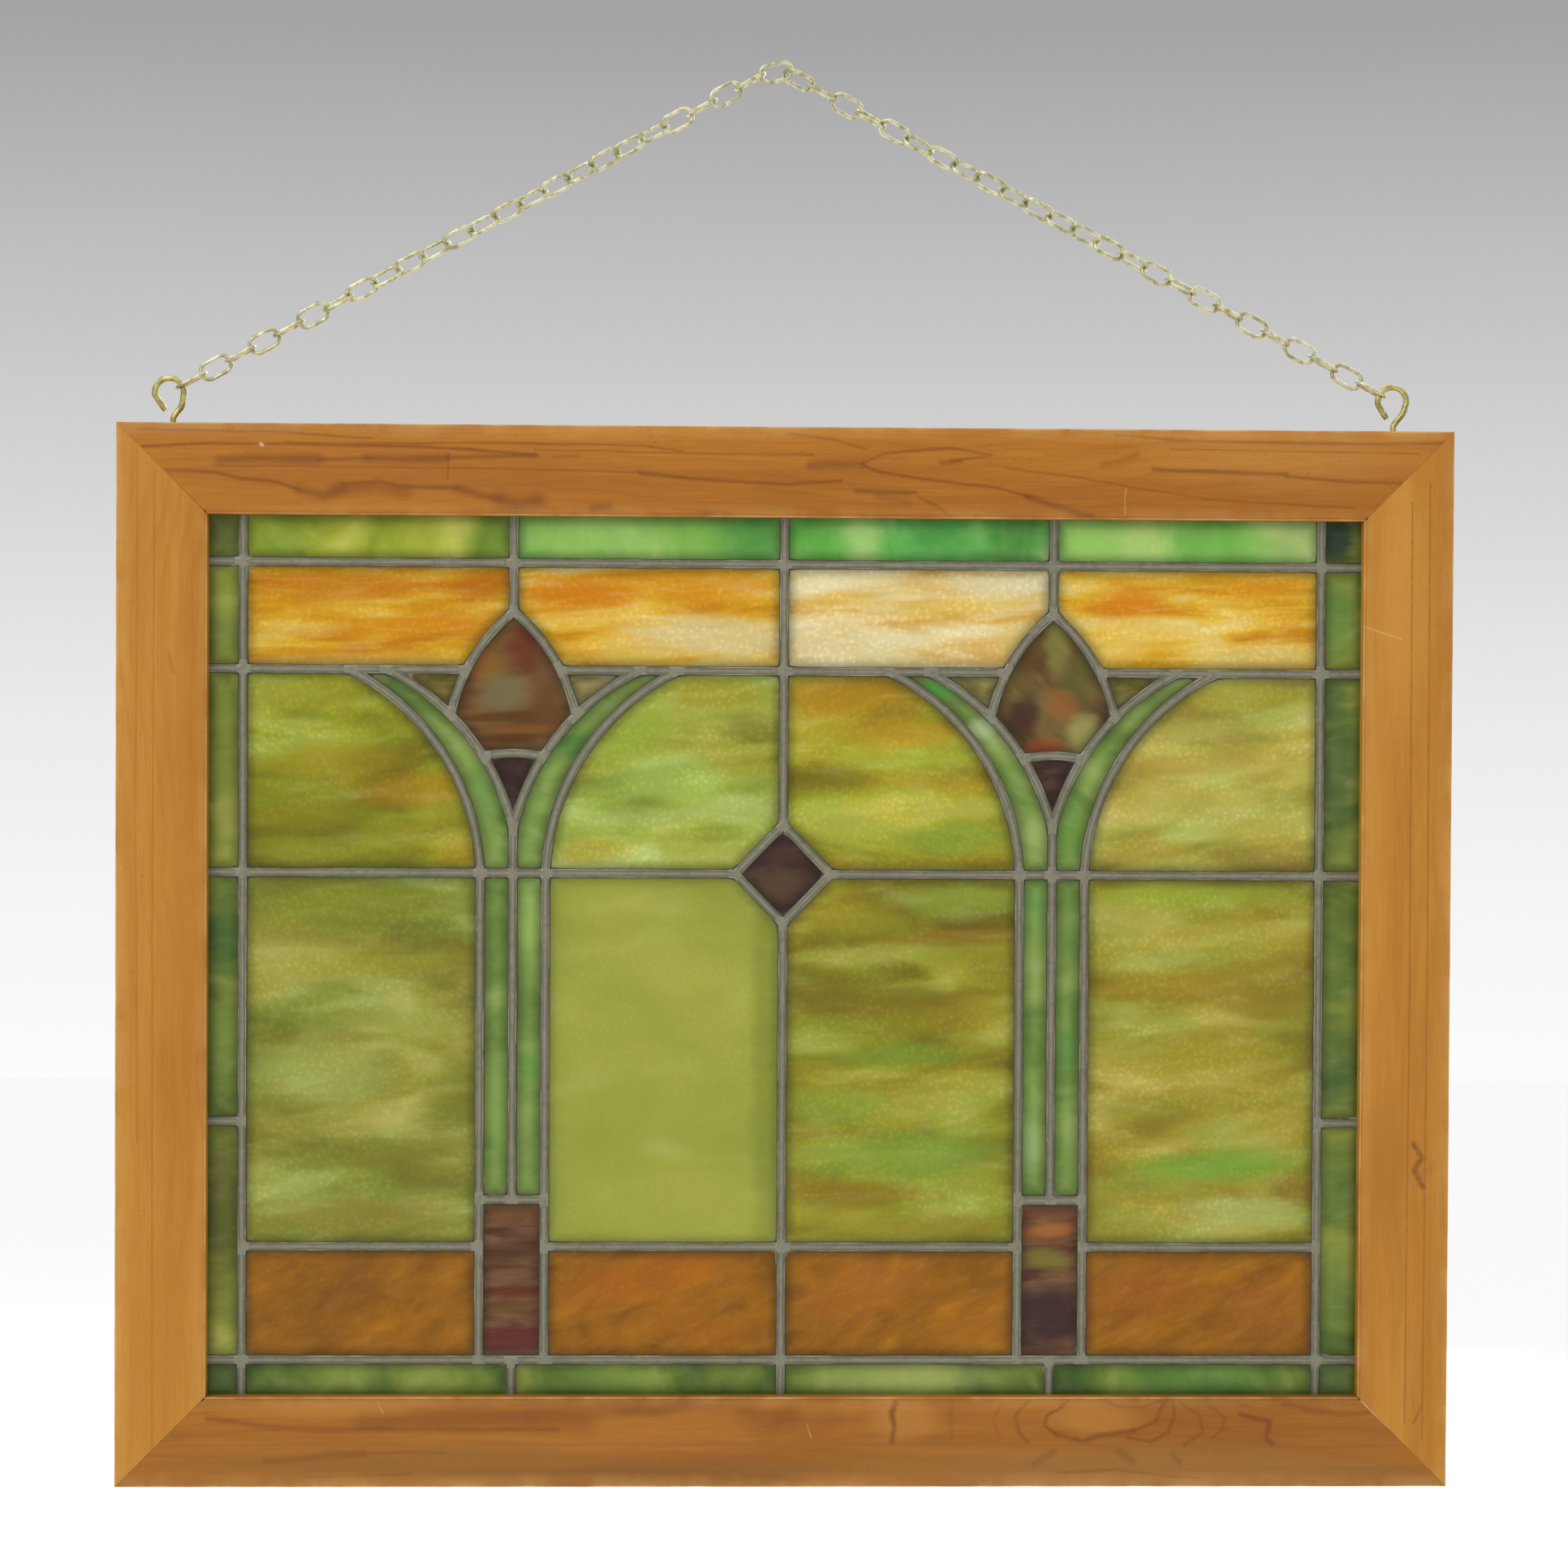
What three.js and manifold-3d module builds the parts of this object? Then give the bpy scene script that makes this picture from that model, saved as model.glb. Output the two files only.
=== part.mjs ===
// A small leaded stained glass window in a mitred pine frame, hung from one nail by a light chain.
// Millimetres, +Z up, the front towards -Y. The origin is where the nail bears under the wire of
// the apex link.

import * as THREE from 'three';
import { mergeVertices } from 'three/addons/utils/BufferGeometryUtils.js';
import Module from 'manifold-3d';

const wasm = await Module();
wasm.setup();

// ---- driving dimensions ------------------------------------------------------------------

const GAP = 0.3; // clearance between neighbouring pieces

// The frame is of 38 x 19 mm boards. Its centre is a little to the right of the nail.
const FRAME_WIDTH = 560;
const FRAME_HEIGHT = 445;
const BOARD_FACE = 38;
const BOARD_THICKNESS = 19;
const GROOVE_DEPTH = 7;
const HANG_RISE = 152.7; // nail above the frame's top edge
const HANG_OFFSET = 2.7; // frame's centre to the right of the nail

// Lead came: an H section that holds 3 mm glass, 4 mm wide on the face.
const GLASS_THICKNESS = 3;
const CAME_HALF_FACE = 2;
const CAME_HALF_HEART = 0.6;
const FLANGE_THICKNESS = 1;
const CHANNEL = GLASS_THICKNESS + 2 * GAP;
const CAME_DEPTH = CHANNEL + 2 * FLANGE_THICKNESS;

// The panel sits a little to the left in its grooves.
const PANEL_SHIFT = -1.3;
const PANEL_WIDTH = 494;
const PANEL_HEIGHT = 382;
const PERIMETER_WALL = 1; // panel edge to the line that the outer cells are drawn to

// The pattern: distances from the panel's centre line, and heights above the frame's bottom edge.
const EDGE_X = PANEL_WIDTH / 2 - PERIMETER_WALL;
const BORDER_X = 226.6;
const BUD_X = 113.5;
const EDGE_TOP = (FRAME_HEIGHT + PANEL_HEIGHT) / 2 - PERIMETER_WALL;
const BORDER_TOP = 387.7;
const SPRING = 342.8; // foot of the top amber row, where the leaves spread to
const MID = 257.5;
const SIDE_SPLIT = 152.9;
const BASE = 100.2;
const BORDER_BOTTOM = 52.4;
const EDGE_BOTTOM = (FRAME_HEIGHT - PANEL_HEIGHT) / 2 + PERIMETER_WALL;

// Stems, leaves, buds and diamond, from the axis of a bud.
const STEM_HALF = 13.7;
const PEDESTAL_TOP = 120;
const LEAF_RADIUS = 98.8;
const LEAF_CENTRE_DROP = 3.5; // centre of the leaf arcs below the middle line
const LEAF_WIDTH = 16.2;
const BUD_TIP = 367.3;
const BUD_RADIUS = 75.7;
const BUD_CENTRE_X = -48; // across the bud's axis from the side it draws
const BUD_BASE_END = 306.6;
const BUD_BASE_RISE = 1.3;
const DIAMOND_HALF_WIDTH = 20;
const DIAMOND_HALF_HEIGHT = 20.8;
const ARC_TURN = THREE.MathUtils.degToRad(8); // facets of every arc start on multiples of this

// Screw eyes of bent wire in the top rail, and the chain between them.
const EYE_WIRE = 2.6;
const EYE_RADIUS = 6; // of the ring's centre line
const EYE_RISE = 13.1; // ring centre above the frame
const EYE_DEPTH = 9.5; // shank in the wood
const EYES = {
  left: { inset: 22.6, ringShift: -1.7, shoulder: { x: 3.4, z: 7.4 }, wireEnd: { x: -3.4, z: 5.6 } },
  right: { inset: 24.3, ringShift: -0.6, shoulder: { x: 3.9, z: 8 }, wireEnd: { x: -2.9, z: 5.8 } },
};
const EYE_BEND = { from: 2.4, to: 4.6, reach: 1.2 }; // the shank leans out between these heights
const EYE_ARC = { from: -15, to: 195, step: 30 }; // degrees round the ring, from its right side

const LINK_WIRE = 1.75;
const LINK_LENGTH = 14.8;
const LINK_WIDTH = 9;
const LINK_OVERLAP = 0.2; // depth of the joint where two links bear on each other
const LINKS_LEFT = 24; // below the apex link
const LINKS_RIGHT = 25;
const APEX_TILT = 13;
const APEX_CENTRE = { x: -3.2, z: -3.6 };
const RIGHT_START = { x: 0.5, z: -3.6 }; // crown of the first right link, inside the apex link

// Each strand twists by a quarter turn in two halves, over these links, and hangs half turned
// between them.
const TWIST = {
  left: [{ from: 4, to: 8 }, { from: 17, to: 21 }],
  right: [{ from: 0, to: 6 }, { from: 8, to: 19 }],
};
const FIRST_RIGHT_TURN = 0.55; // quarter turns of the first right link out of the frame's plane
const LINK_HALF = (LINK_LENGTH - LINK_WIRE) / 2; // link centre to the crown of its wire
const FRAME_TOP = -HANG_RISE;
const FRAME_BOTTOM = FRAME_TOP - FRAME_HEIGHT;

// ---- solids --------------------------------------------------------------------------------

function solidOf(geometry) {
  const closed = geometry.index ? geometry.toNonIndexed() : geometry.clone();
  closed.deleteAttribute('normal');
  closed.deleteAttribute('uv');
  const merged = mergeVertices(closed, 1e-4);
  return new wasm.Manifold(new wasm.Mesh({
    numProp: 3,
    vertProperties: new Float32Array(merged.attributes.position.array),
    triVerts: new Uint32Array(merged.index.array),
  }));
}

function geometryOf(solid) {
  const mesh = solid.getMesh();
  const geometry = new THREE.BufferGeometry();
  geometry.setAttribute('position', new THREE.BufferAttribute(mesh.vertProperties, 3));
  geometry.setIndex(new THREE.BufferAttribute(mesh.triVerts, 1));
  geometry.computeVertexNormals();
  return geometry;
}

const joined = (solids) => solids.reduce((whole, solid) => whole.add(solid));

// A flat outline in X and Z, given a thickness along Y about the plane y.
function slab(shape, thickness, y = 0) {
  const geometry = new THREE.ExtrudeGeometry(shape, { depth: thickness, bevelEnabled: false });
  geometry.rotateX(Math.PI / 2);
  geometry.translate(0, y + thickness / 2, 0);
  return geometry;
}

// ---- outlines made of straight edges and arcs ------------------------------------------------

// An outline is a counter-clockwise list of corners. A corner with a centre starts an arc about
// that centre, and any other corner starts a straight edge.
const corner = (x, z, centre = null) => ({ at: new THREE.Vector2(x, z), centre });
const rectangle = (x0, z0, x1, z1) => [corner(x0, z0), corner(x1, z0), corner(x1, z1), corner(x0, z1)];

// The line or circle that an edge lies on, moved inwards.
function movedEdge(from, to, inset) {
  const along = to.at.clone().sub(from.at);
  if (!from.centre) {
    const inwards = new THREE.Vector2(-along.y, along.x).normalize();
    return { point: from.at.clone().addScaledVector(inwards, inset), along: along.normalize() };
  }
  const bulgesOut = along.cross(from.centre.clone().sub(from.at)) > 0;
  const radius = from.at.distanceTo(from.centre) + (bulgesOut ? -inset : inset);
  return { centre: from.centre, radius };
}

function crossLines(a, b) {
  const t = b.point.clone().sub(a.point).cross(b.along) / a.along.cross(b.along);
  return [a.point.clone().addScaledVector(a.along, t)];
}

function crossLineCircle(line, circle) {
  const toCentre = circle.centre.clone().sub(line.point);
  const middle = toCentre.dot(line.along);
  const half = Math.sqrt(circle.radius ** 2 - toCentre.lengthSq() + middle ** 2);
  return [middle - half, middle + half].map((t) => line.point.clone().addScaledVector(line.along, t));
}

function crossCircles(a, b) {
  const between = b.centre.clone().sub(a.centre);
  const distance = between.length();
  const along = (distance ** 2 + a.radius ** 2 - b.radius ** 2) / (2 * distance);
  const across = Math.sqrt(a.radius ** 2 - along ** 2);
  const unit = between.divideScalar(distance);
  const foot = a.centre.clone().addScaledVector(unit, along);
  const normal = new THREE.Vector2(-unit.y, unit.x);
  return [foot.clone().addScaledVector(normal, across), foot.addScaledVector(normal, -across)];
}

function crossing(a, b, near) {
  let points;
  if (a.centre && b.centre) points = crossCircles(a, b);
  else if (a.centre) points = crossLineCircle(b, a);
  else if (b.centre) points = crossLineCircle(a, b);
  else points = crossLines(a, b);
  return points.sort((p, q) => p.distanceTo(near) - q.distanceTo(near))[0];
}

// The outline with every edge moved inwards by the same distance.
function insetOutline(outline, inset) {
  const next = (i) => outline[(i + 1) % outline.length];
  const edges = outline.map((from, i) => movedEdge(from, next(i), inset));
  return outline.map((from, i) => {
    const before = edges[(i + edges.length - 1) % edges.length];
    return { at: crossing(before, edges[i], from.at), centre: from.centre };
  });
}

// Points of an arc, without its end. Facets start on multiples of ARC_TURN, so that outlines
// drawn about one centre nest.
function arcPoints(from, to, centre) {
  const arm = from.clone().sub(centre);
  const end = to.clone().sub(centre);
  const start = Math.atan2(arm.y, arm.x);
  const sweep = Math.atan2(arm.cross(end), arm.dot(end));
  const way = Math.sign(sweep);
  const first = way > 0 ? Math.ceil(start / ARC_TURN + 0.25) : Math.floor(start / ARC_TURN - 0.25);
  const points = [from];
  for (let k = first; (k * ARC_TURN - start) * way < Math.abs(sweep) - ARC_TURN / 4; k += way) {
    const turned = new THREE.Vector2(Math.cos(k * ARC_TURN), Math.sin(k * ARC_TURN));
    points.push(turned.multiplyScalar(arm.length()).add(centre));
  }
  return points;
}

function pointsOf(outline) {
  return outline.flatMap((from, i) => {
    const to = outline[(i + 1) % outline.length];
    return from.centre ? arcPoints(from.at, to.at, from.centre) : [from.at];
  });
}

// ---- the pattern -------------------------------------------------------------------------------

// Each half of a bud's surround is drawn once, with x as the distance from the bud's axis, and
// then placed to the left or right of that axis.
function placed(outline, axis, way) {
  const moved = outline.map(({ at, centre }) => ({
    at: new THREE.Vector2(axis + way * at.x, at.y),
    centre: centre && new THREE.Vector2(axis + way * centre.x, centre.y),
  }));
  if (way > 0) return moved;
  const last = moved.length - 1;
  return moved.map((_, i) => ({ at: moved[last - i].at, centre: moved[(2 * last - i) % (last + 1)].centre }));
}

const leafCentreZ = MID - LEAF_CENTRE_DROP;
const outerReach = Math.sqrt(LEAF_RADIUS ** 2 - LEAF_CENTRE_DROP ** 2);
const OUTER_CENTRE = new THREE.Vector2(STEM_HALF + outerReach, leafCentreZ);
const INNER_CENTRE = new THREE.Vector2(OUTER_CENTRE.x - LEAF_WIDTH, leafCentreZ);
const BUD_CENTRE = new THREE.Vector2(BUD_CENTRE_X, BUD_TIP - Math.sqrt(BUD_RADIUS ** 2 - BUD_CENTRE_X ** 2));

const outerLeafX = (z) => OUTER_CENTRE.x - Math.sqrt(LEAF_RADIUS ** 2 - (z - leafCentreZ) ** 2);
const innerLeafX = (z) => INNER_CENTRE.x - Math.sqrt(LEAF_RADIUS ** 2 - (z - leafCentreZ) ** 2);
const budSideX = (z) => BUD_CENTRE.x + Math.sqrt(BUD_RADIUS ** 2 - (z - BUD_CENTRE.y) ** 2);

const LEAVES_PART = leafCentreZ + Math.sqrt(LEAF_RADIUS ** 2 - INNER_CENTRE.x ** 2);
const budShoulder = crossCircles(
  { centre: BUD_CENTRE, radius: BUD_RADIUS },
  { centre: INNER_CENTRE, radius: LEAF_RADIUS },
).sort((a, b) => b.x - a.x)[0];

// One of the four bays between the border, the bud axes and the centre line. limit is the
// distance from the bud's axis to the border or the centre line.
function bayCells(limit, meetsDiamond) {
  const upperCorner = [corner(limit, MID)];
  const lowerCorner = [corner(limit, MID)];
  if (meetsDiamond) {
    upperCorner.splice(0, 1, corner(limit - DIAMOND_HALF_WIDTH, MID), corner(limit, MID + DIAMOND_HALF_HEIGHT));
    lowerCorner.splice(0, 1, corner(limit, MID - DIAMOND_HALF_HEIGHT), corner(limit - DIAMOND_HALF_WIDTH, MID));
  }
  return {
    amber_top: [
      corner(0, BUD_TIP, BUD_CENTRE),
      corner(budSideX(SPRING), SPRING),
      corner(limit, SPRING),
      corner(limit, BORDER_TOP),
      corner(0, BORDER_TOP),
    ],
    leaf: [
      corner(0, MID),
      corner(STEM_HALF, MID, OUTER_CENTRE),
      corner(outerLeafX(SPRING), SPRING),
      corner(innerLeafX(SPRING), SPRING, INNER_CENTRE),
      corner(0, LEAVES_PART),
    ],
    bud_side: [
      corner(budSideX(SPRING), SPRING, BUD_CENTRE),
      corner(budShoulder.x, budShoulder.y, INNER_CENTRE),
      corner(innerLeafX(SPRING), SPRING),
    ],
    field_upper: [
      corner(STEM_HALF, MID),
      ...upperCorner,
      corner(limit, SPRING),
      corner(outerLeafX(SPRING), SPRING, OUTER_CENTRE),
    ],
    stem: rectangle(0, PEDESTAL_TOP, STEM_HALF, MID),
    field_lower: [corner(STEM_HALF, BASE), corner(limit, BASE), ...lowerCorner, corner(STEM_HALF, MID)],
    base_amber: rectangle(STEM_HALF, BORDER_BOTTOM, limit, BASE),
  };
}

function budCells(axis) {
  const endX = innerLeafX(BUD_BASE_END);
  const baseRadius = (endX ** 2 + BUD_BASE_RISE ** 2) / (2 * BUD_BASE_RISE);
  const baseCentre = new THREE.Vector2(axis, BUD_BASE_END + BUD_BASE_RISE - baseRadius);
  const mirrored = (centre) => new THREE.Vector2(axis - centre.x, centre.y);
  const shifted = (centre) => new THREE.Vector2(axis + centre.x, centre.y);
  return {
    bud: [
      corner(axis, BUD_TIP, mirrored(BUD_CENTRE)),
      corner(axis - budShoulder.x, budShoulder.y, mirrored(INNER_CENTRE)),
      corner(axis - endX, BUD_BASE_END, baseCentre),
      corner(axis + endX, BUD_BASE_END, shifted(INNER_CENTRE)),
      corner(axis + budShoulder.x, budShoulder.y, shifted(BUD_CENTRE)),
    ],
    bud_base: [
      corner(axis, LEAVES_PART, shifted(INNER_CENTRE)),
      corner(axis + endX, BUD_BASE_END, baseCentre),
      corner(axis - endX, BUD_BASE_END, mirrored(INNER_CENTRE)),
    ],
    pedestal: rectangle(axis - STEM_HALF, BORDER_BOTTOM, axis + STEM_HALF, PEDESTAL_TOP),
  };
}

// Every cell of the lattice, by name. Numbers run from the left, and from the top.
function patternCells() {
  const cells = {};
  const bays = [
    { axis: -BUD_X, way: -1, limit: BORDER_X - BUD_X },
    { axis: -BUD_X, way: 1, limit: BUD_X },
    { axis: BUD_X, way: -1, limit: BUD_X },
    { axis: BUD_X, way: 1, limit: BORDER_X - BUD_X },
  ];
  bays.forEach(({ axis, way, limit }, i) => {
    Object.entries(bayCells(limit, limit === BUD_X)).forEach(([name, outline]) => {
      cells[`${name}_${i + 1}`] = placed(outline, axis, way);
    });
  });
  Object.entries({ left: -BUD_X, right: BUD_X }).forEach(([side, axis]) => {
    Object.entries(budCells(axis)).forEach(([name, outline]) => {
      cells[`${name}_${side}`] = outline;
    });
  });
  cells.diamond = [
    corner(-DIAMOND_HALF_WIDTH, MID),
    corner(0, MID - DIAMOND_HALF_HEIGHT),
    corner(DIAMOND_HALF_WIDTH, MID),
    corner(0, MID + DIAMOND_HALF_HEIGHT),
  ];
  const across = [-BORDER_X, -BUD_X, 0, BUD_X, BORDER_X];
  const down = [BORDER_TOP, SPRING, MID, SIDE_SPLIT, BORDER_BOTTOM];
  for (let i = 0; i < 4; i += 1) {
    cells[`border_top_${i + 1}`] = rectangle(across[i], BORDER_TOP, across[i + 1], EDGE_TOP);
    cells[`border_bottom_${i + 1}`] = rectangle(across[i], EDGE_BOTTOM, across[i + 1], BORDER_BOTTOM);
    cells[`border_left_${i + 1}`] = rectangle(-EDGE_X, down[i + 1], -BORDER_X, down[i]);
    cells[`border_right_${i + 1}`] = rectangle(BORDER_X, down[i + 1], EDGE_X, down[i]);
  }
  cells.corner_top_left = rectangle(-EDGE_X, BORDER_TOP, -BORDER_X, EDGE_TOP);
  cells.corner_top_right = rectangle(BORDER_X, BORDER_TOP, EDGE_X, EDGE_TOP);
  cells.corner_bottom_left = rectangle(-EDGE_X, EDGE_BOTTOM, -BORDER_X, BORDER_BOTTOM);
  cells.corner_bottom_right = rectangle(BORDER_X, EDGE_BOTTOM, EDGE_X, BORDER_BOTTOM);
  return cells;
}

// ---- glass and lead ----------------------------------------------------------------------------

function paneGeometry(outline) {
  const shape = new THREE.Shape(pointsOf(insetOutline(outline, CAME_HALF_HEART + GAP)));
  return slab(shape, GLASS_THICKNESS);
}

// One layer of the lattice: the panel's rectangle with every cell cut out of it.
function latticeLayer(cells, inset, thickness, y) {
  const edge = new THREE.BoxGeometry(PANEL_WIDTH, thickness, PANEL_HEIGHT);
  edge.translate(0, y, FRAME_HEIGHT / 2);
  return Object.values(cells).reduce((layer, outline) => {
    const shape = new THREE.Shape(pointsOf(insetOutline(outline, inset)));
    return layer.subtract(solidOf(slab(shape, 2 * thickness, y)));
  }, solidOf(edge));
}

function cameGeometry(cells) {
  const flangeY = (CHANNEL + FLANGE_THICKNESS) / 2;
  const weld = 0.1; // depth that the heart runs into each flange
  return geometryOf(joined([
    latticeLayer(cells, CAME_HALF_FACE, FLANGE_THICKNESS, -flangeY),
    latticeLayer(cells, CAME_HALF_HEART, CHANNEL + weld, 0),
    latticeLayer(cells, CAME_HALF_FACE, FLANGE_THICKNESS, flangeY),
  ]));
}

// ---- frame -------------------------------------------------------------------------------------

// A board that lies along X with its grooved inner edge towards -Z, mitred at both ends.
// shankHoles are places along it for screw eyes in its outer edge.
function boardGeometry(length, shankHoles = []) {
  const jointSlack = (GAP / 2) * Math.SQRT2;
  const outer = length / 2 - jointSlack;
  const inner = outer - BOARD_FACE;
  const outline = [corner(-inner, 0), corner(inner, 0), corner(outer, BOARD_FACE), corner(-outer, BOARD_FACE)];
  const groove = new THREE.BoxGeometry(length, CAME_DEPTH + 2 * GAP, 2 * GROOVE_DEPTH);
  let board = solidOf(slab(new THREE.Shape(pointsOf(outline)), BOARD_THICKNESS)).subtract(solidOf(groove));
  shankHoles.forEach((x) => {
    const hole = new THREE.CylinderGeometry(EYE_WIRE / 2 + GAP, EYE_WIRE / 2 + GAP, 2 * (EYE_DEPTH + GAP), 8);
    hole.rotateX(Math.PI / 2);
    hole.translate(x, 0, BOARD_FACE);
    board = board.subtract(solidOf(hole));
  });
  return geometryOf(board);
}

// ---- hardware ----------------------------------------------------------------------------------

// A screw eye: a shank that bends over into an open ring. Its origin is the shank's axis at the
// top of the frame.
function eyeGeometry({ ringShift, shoulder, wireEnd }) {
  const ring = new THREE.Vector3(ringShift, 0, EYE_RISE);
  const path = [
    new THREE.Vector3(0, 0, -EYE_DEPTH),
    new THREE.Vector3(0, 0, -EYE_DEPTH / 2),
    new THREE.Vector3(0, 0, 0),
    new THREE.Vector3(0, 0, EYE_BEND.from),
    new THREE.Vector3(EYE_BEND.reach, 0, EYE_BEND.to),
    new THREE.Vector3(shoulder.x, 0, shoulder.z),
  ];
  for (let degrees = EYE_ARC.from; degrees <= EYE_ARC.to; degrees += EYE_ARC.step) {
    const angle = THREE.MathUtils.degToRad(degrees);
    path.push(new THREE.Vector3(Math.cos(angle), 0, Math.sin(angle)).multiplyScalar(EYE_RADIUS).add(ring));
  }
  path.push(new THREE.Vector3(wireEnd.x, 0, wireEnd.z));
  const sides = 7;
  const circle = new THREE.EllipseCurve(0, 0, EYE_WIRE / 2, EYE_WIRE / 2);
  const section = new THREE.Shape(circle.getPoints(sides).slice(0, sides));
  return new THREE.ExtrudeGeometry(section, { extrudePath: new THREE.CatmullRomCurve3(path), steps: 18 });
}

// An oval link along X in the plane of X and Z: an eight-sided ring pulled apart along X, with a
// side across each crown.
function linkGeometry() {
  const sides = 8;
  const endReach = (LINK_WIDTH - LINK_WIRE) / 2;
  const stretch = LINK_HALF - endReach;
  const ring = new THREE.TorusGeometry(endReach / Math.cos(Math.PI / sides), LINK_WIRE / 2, 4, sides);
  ring.rotateZ(Math.PI / sides);
  ring.rotateX(Math.PI / 2);
  const position = ring.attributes.position;
  for (let i = 0; i < position.count; i += 1) {
    position.setX(i, position.getX(i) + stretch * Math.sign(position.getX(i)));
  }
  return ring;
}

// A link centred on a point of the plane y = 0, tilted up from X and turned about its own length.
function linkSolid(x, z, tilt, turn) {
  const link = linkGeometry();
  link.rotateX(turn);
  link.rotateY(-tilt);
  link.translate(x, 0, z);
  return solidOf(link);
}

// Links strung from the crown of the first to the crown of the last, each a quarter turn on from
// the one before it. turnOf gives the strand's own twist at a link, in quarter turns.
function strandSolids(start, end, count, turnOf) {
  const tilt = Math.atan2(end.z - start.z, end.x - start.x);
  const run = Math.hypot(end.x - start.x, end.z - start.z);
  const pitch = (run - 2 * LINK_HALF) / (count - 1);
  return Array.from({ length: count }, (_, k) => {
    const along = LINK_HALF + k * pitch;
    const turn = (turnOf(k) + k) * (Math.PI / 2);
    return linkSolid(start.x + along * Math.cos(tilt), start.z + along * Math.sin(tilt), tilt, turn);
  });
}

// Where the crown of a link bears inside a ring, towards the apex of the chain.
function crownInRing(eyeX, ringShift) {
  const ring = new THREE.Vector2(eyeX + ringShift, FRAME_TOP + EYE_RISE);
  const reach = EYE_RADIUS - EYE_WIRE / 2 - LINK_WIRE / 2 - GAP;
  const crown = ring.clone().add(ring.clone().negate().setLength(reach));
  return { x: crown.x, z: crown.y };
}

// ---- the object ----------------------------------------------------------------------------------

const LOOKS = {
  pine: { color: 0xb87a3a, roughness: 0.6, metalness: 0 },
  lead: { color: 0x74746c, roughness: 0.6, metalness: 0.5 },
  brass: { color: 0xc2b878, roughness: 0.3, metalness: 1 },
  green_glass: { color: 0x64863c, roughness: 0.3, metalness: 0 },
  amber_glass: { color: 0xd49a28, roughness: 0.3, metalness: 0 },
  olive_glass: { color: 0x9a9a36, roughness: 0.3, metalness: 0 },
  plain_glass: { color: 0xa0a646, roughness: 0.2, metalness: 0 },
  brown_glass: { color: 0x8c5a1e, roughness: 0.3, metalness: 0 },
  maroon_glass: { color: 0x5a3828, roughness: 0.2, metalness: 0 },
};

// Glass by the first words of a pane's name.
const GLASS = {
  amber_top: 'amber_glass',
  base_amber: 'brown_glass',
  border: 'green_glass',
  bud: 'maroon_glass',
  corner: 'green_glass',
  diamond: 'maroon_glass',
  field_lower_2: 'plain_glass',
  field: 'olive_glass',
  leaf: 'green_glass',
  pedestal: 'maroon_glass',
  stem: 'green_glass',
};

const group = new THREE.Group();
const frame = new THREE.Group(); // X from the frame's centre, Z from its bottom edge
frame.position.set(HANG_OFFSET, 0, FRAME_BOTTOM);
group.add(frame);

function add(parent, name, geometry, look) {
  const mesh = new THREE.Mesh(geometry, new THREE.MeshStandardMaterial(LOOKS[look]));
  mesh.name = name;
  parent.add(mesh);
  return mesh;
}

function addBoard(name, length, x, z, turn, shankHoles) {
  const board = add(frame, name, boardGeometry(length, shankHoles), 'pine');
  board.position.set(x, 0, z);
  board.rotation.y = turn;
}

const railX = FRAME_WIDTH / 2 - BOARD_FACE;
const shankHoles = [EYES.left.inset - FRAME_WIDTH / 2, FRAME_WIDTH / 2 - EYES.right.inset];
addBoard('top_rail', FRAME_WIDTH, 0, FRAME_HEIGHT - BOARD_FACE, 0, shankHoles);
addBoard('bottom_rail', FRAME_WIDTH, 0, BOARD_FACE, Math.PI);
addBoard('left_stile', FRAME_HEIGHT, -railX, FRAME_HEIGHT / 2, -Math.PI / 2);
addBoard('right_stile', FRAME_HEIGHT, railX, FRAME_HEIGHT / 2, Math.PI / 2);

const panel = new THREE.Group();
panel.position.x = PANEL_SHIFT;
frame.add(panel);
const cells = patternCells();
add(panel, 'lead_came', cameGeometry(cells), 'lead');
Object.entries(cells)
  .filter(([name]) => !name.startsWith('bud_side')) // these four small panes have no solid
  .forEach(([name, outline]) => {
    const kind = Object.keys(GLASS).find((start) => name.startsWith(start));
    add(panel, name, paneGeometry(outline), GLASS[kind]);
  });

const eyeX = { left: HANG_OFFSET + shankHoles[0], right: HANG_OFFSET + shankHoles[1] };
['left', 'right'].forEach((side) => {
  const eye = add(group, `screw_eye_${side}`, eyeGeometry(EYES[side]), 'brass');
  eye.position.set(eyeX[side], 0, FRAME_TOP);
});

// The apex link lies in the plane of the frame, with the nail through it. The link below it on
// the left bears in its left crown, and the first right link passes through it beside the nail.
const apexTilt = THREE.MathUtils.degToRad(APEX_TILT);
const leftStart = crownInRing(eyeX.left, EYES.left.ringShift);
const leftTilt = Math.atan2(-leftStart.z, -leftStart.x);
const leftEnd = {
  x: APEX_CENTRE.x - LINK_HALF * Math.cos(apexTilt) + (LINK_WIRE - LINK_OVERLAP) * Math.cos(leftTilt),
  z: APEX_CENTRE.z - LINK_HALF * Math.sin(apexTilt) + (LINK_WIRE - LINK_OVERLAP) * Math.sin(leftTilt),
};
const rightEnd = crownInRing(eyeX.right, EYES.right.ringShift);

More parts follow.
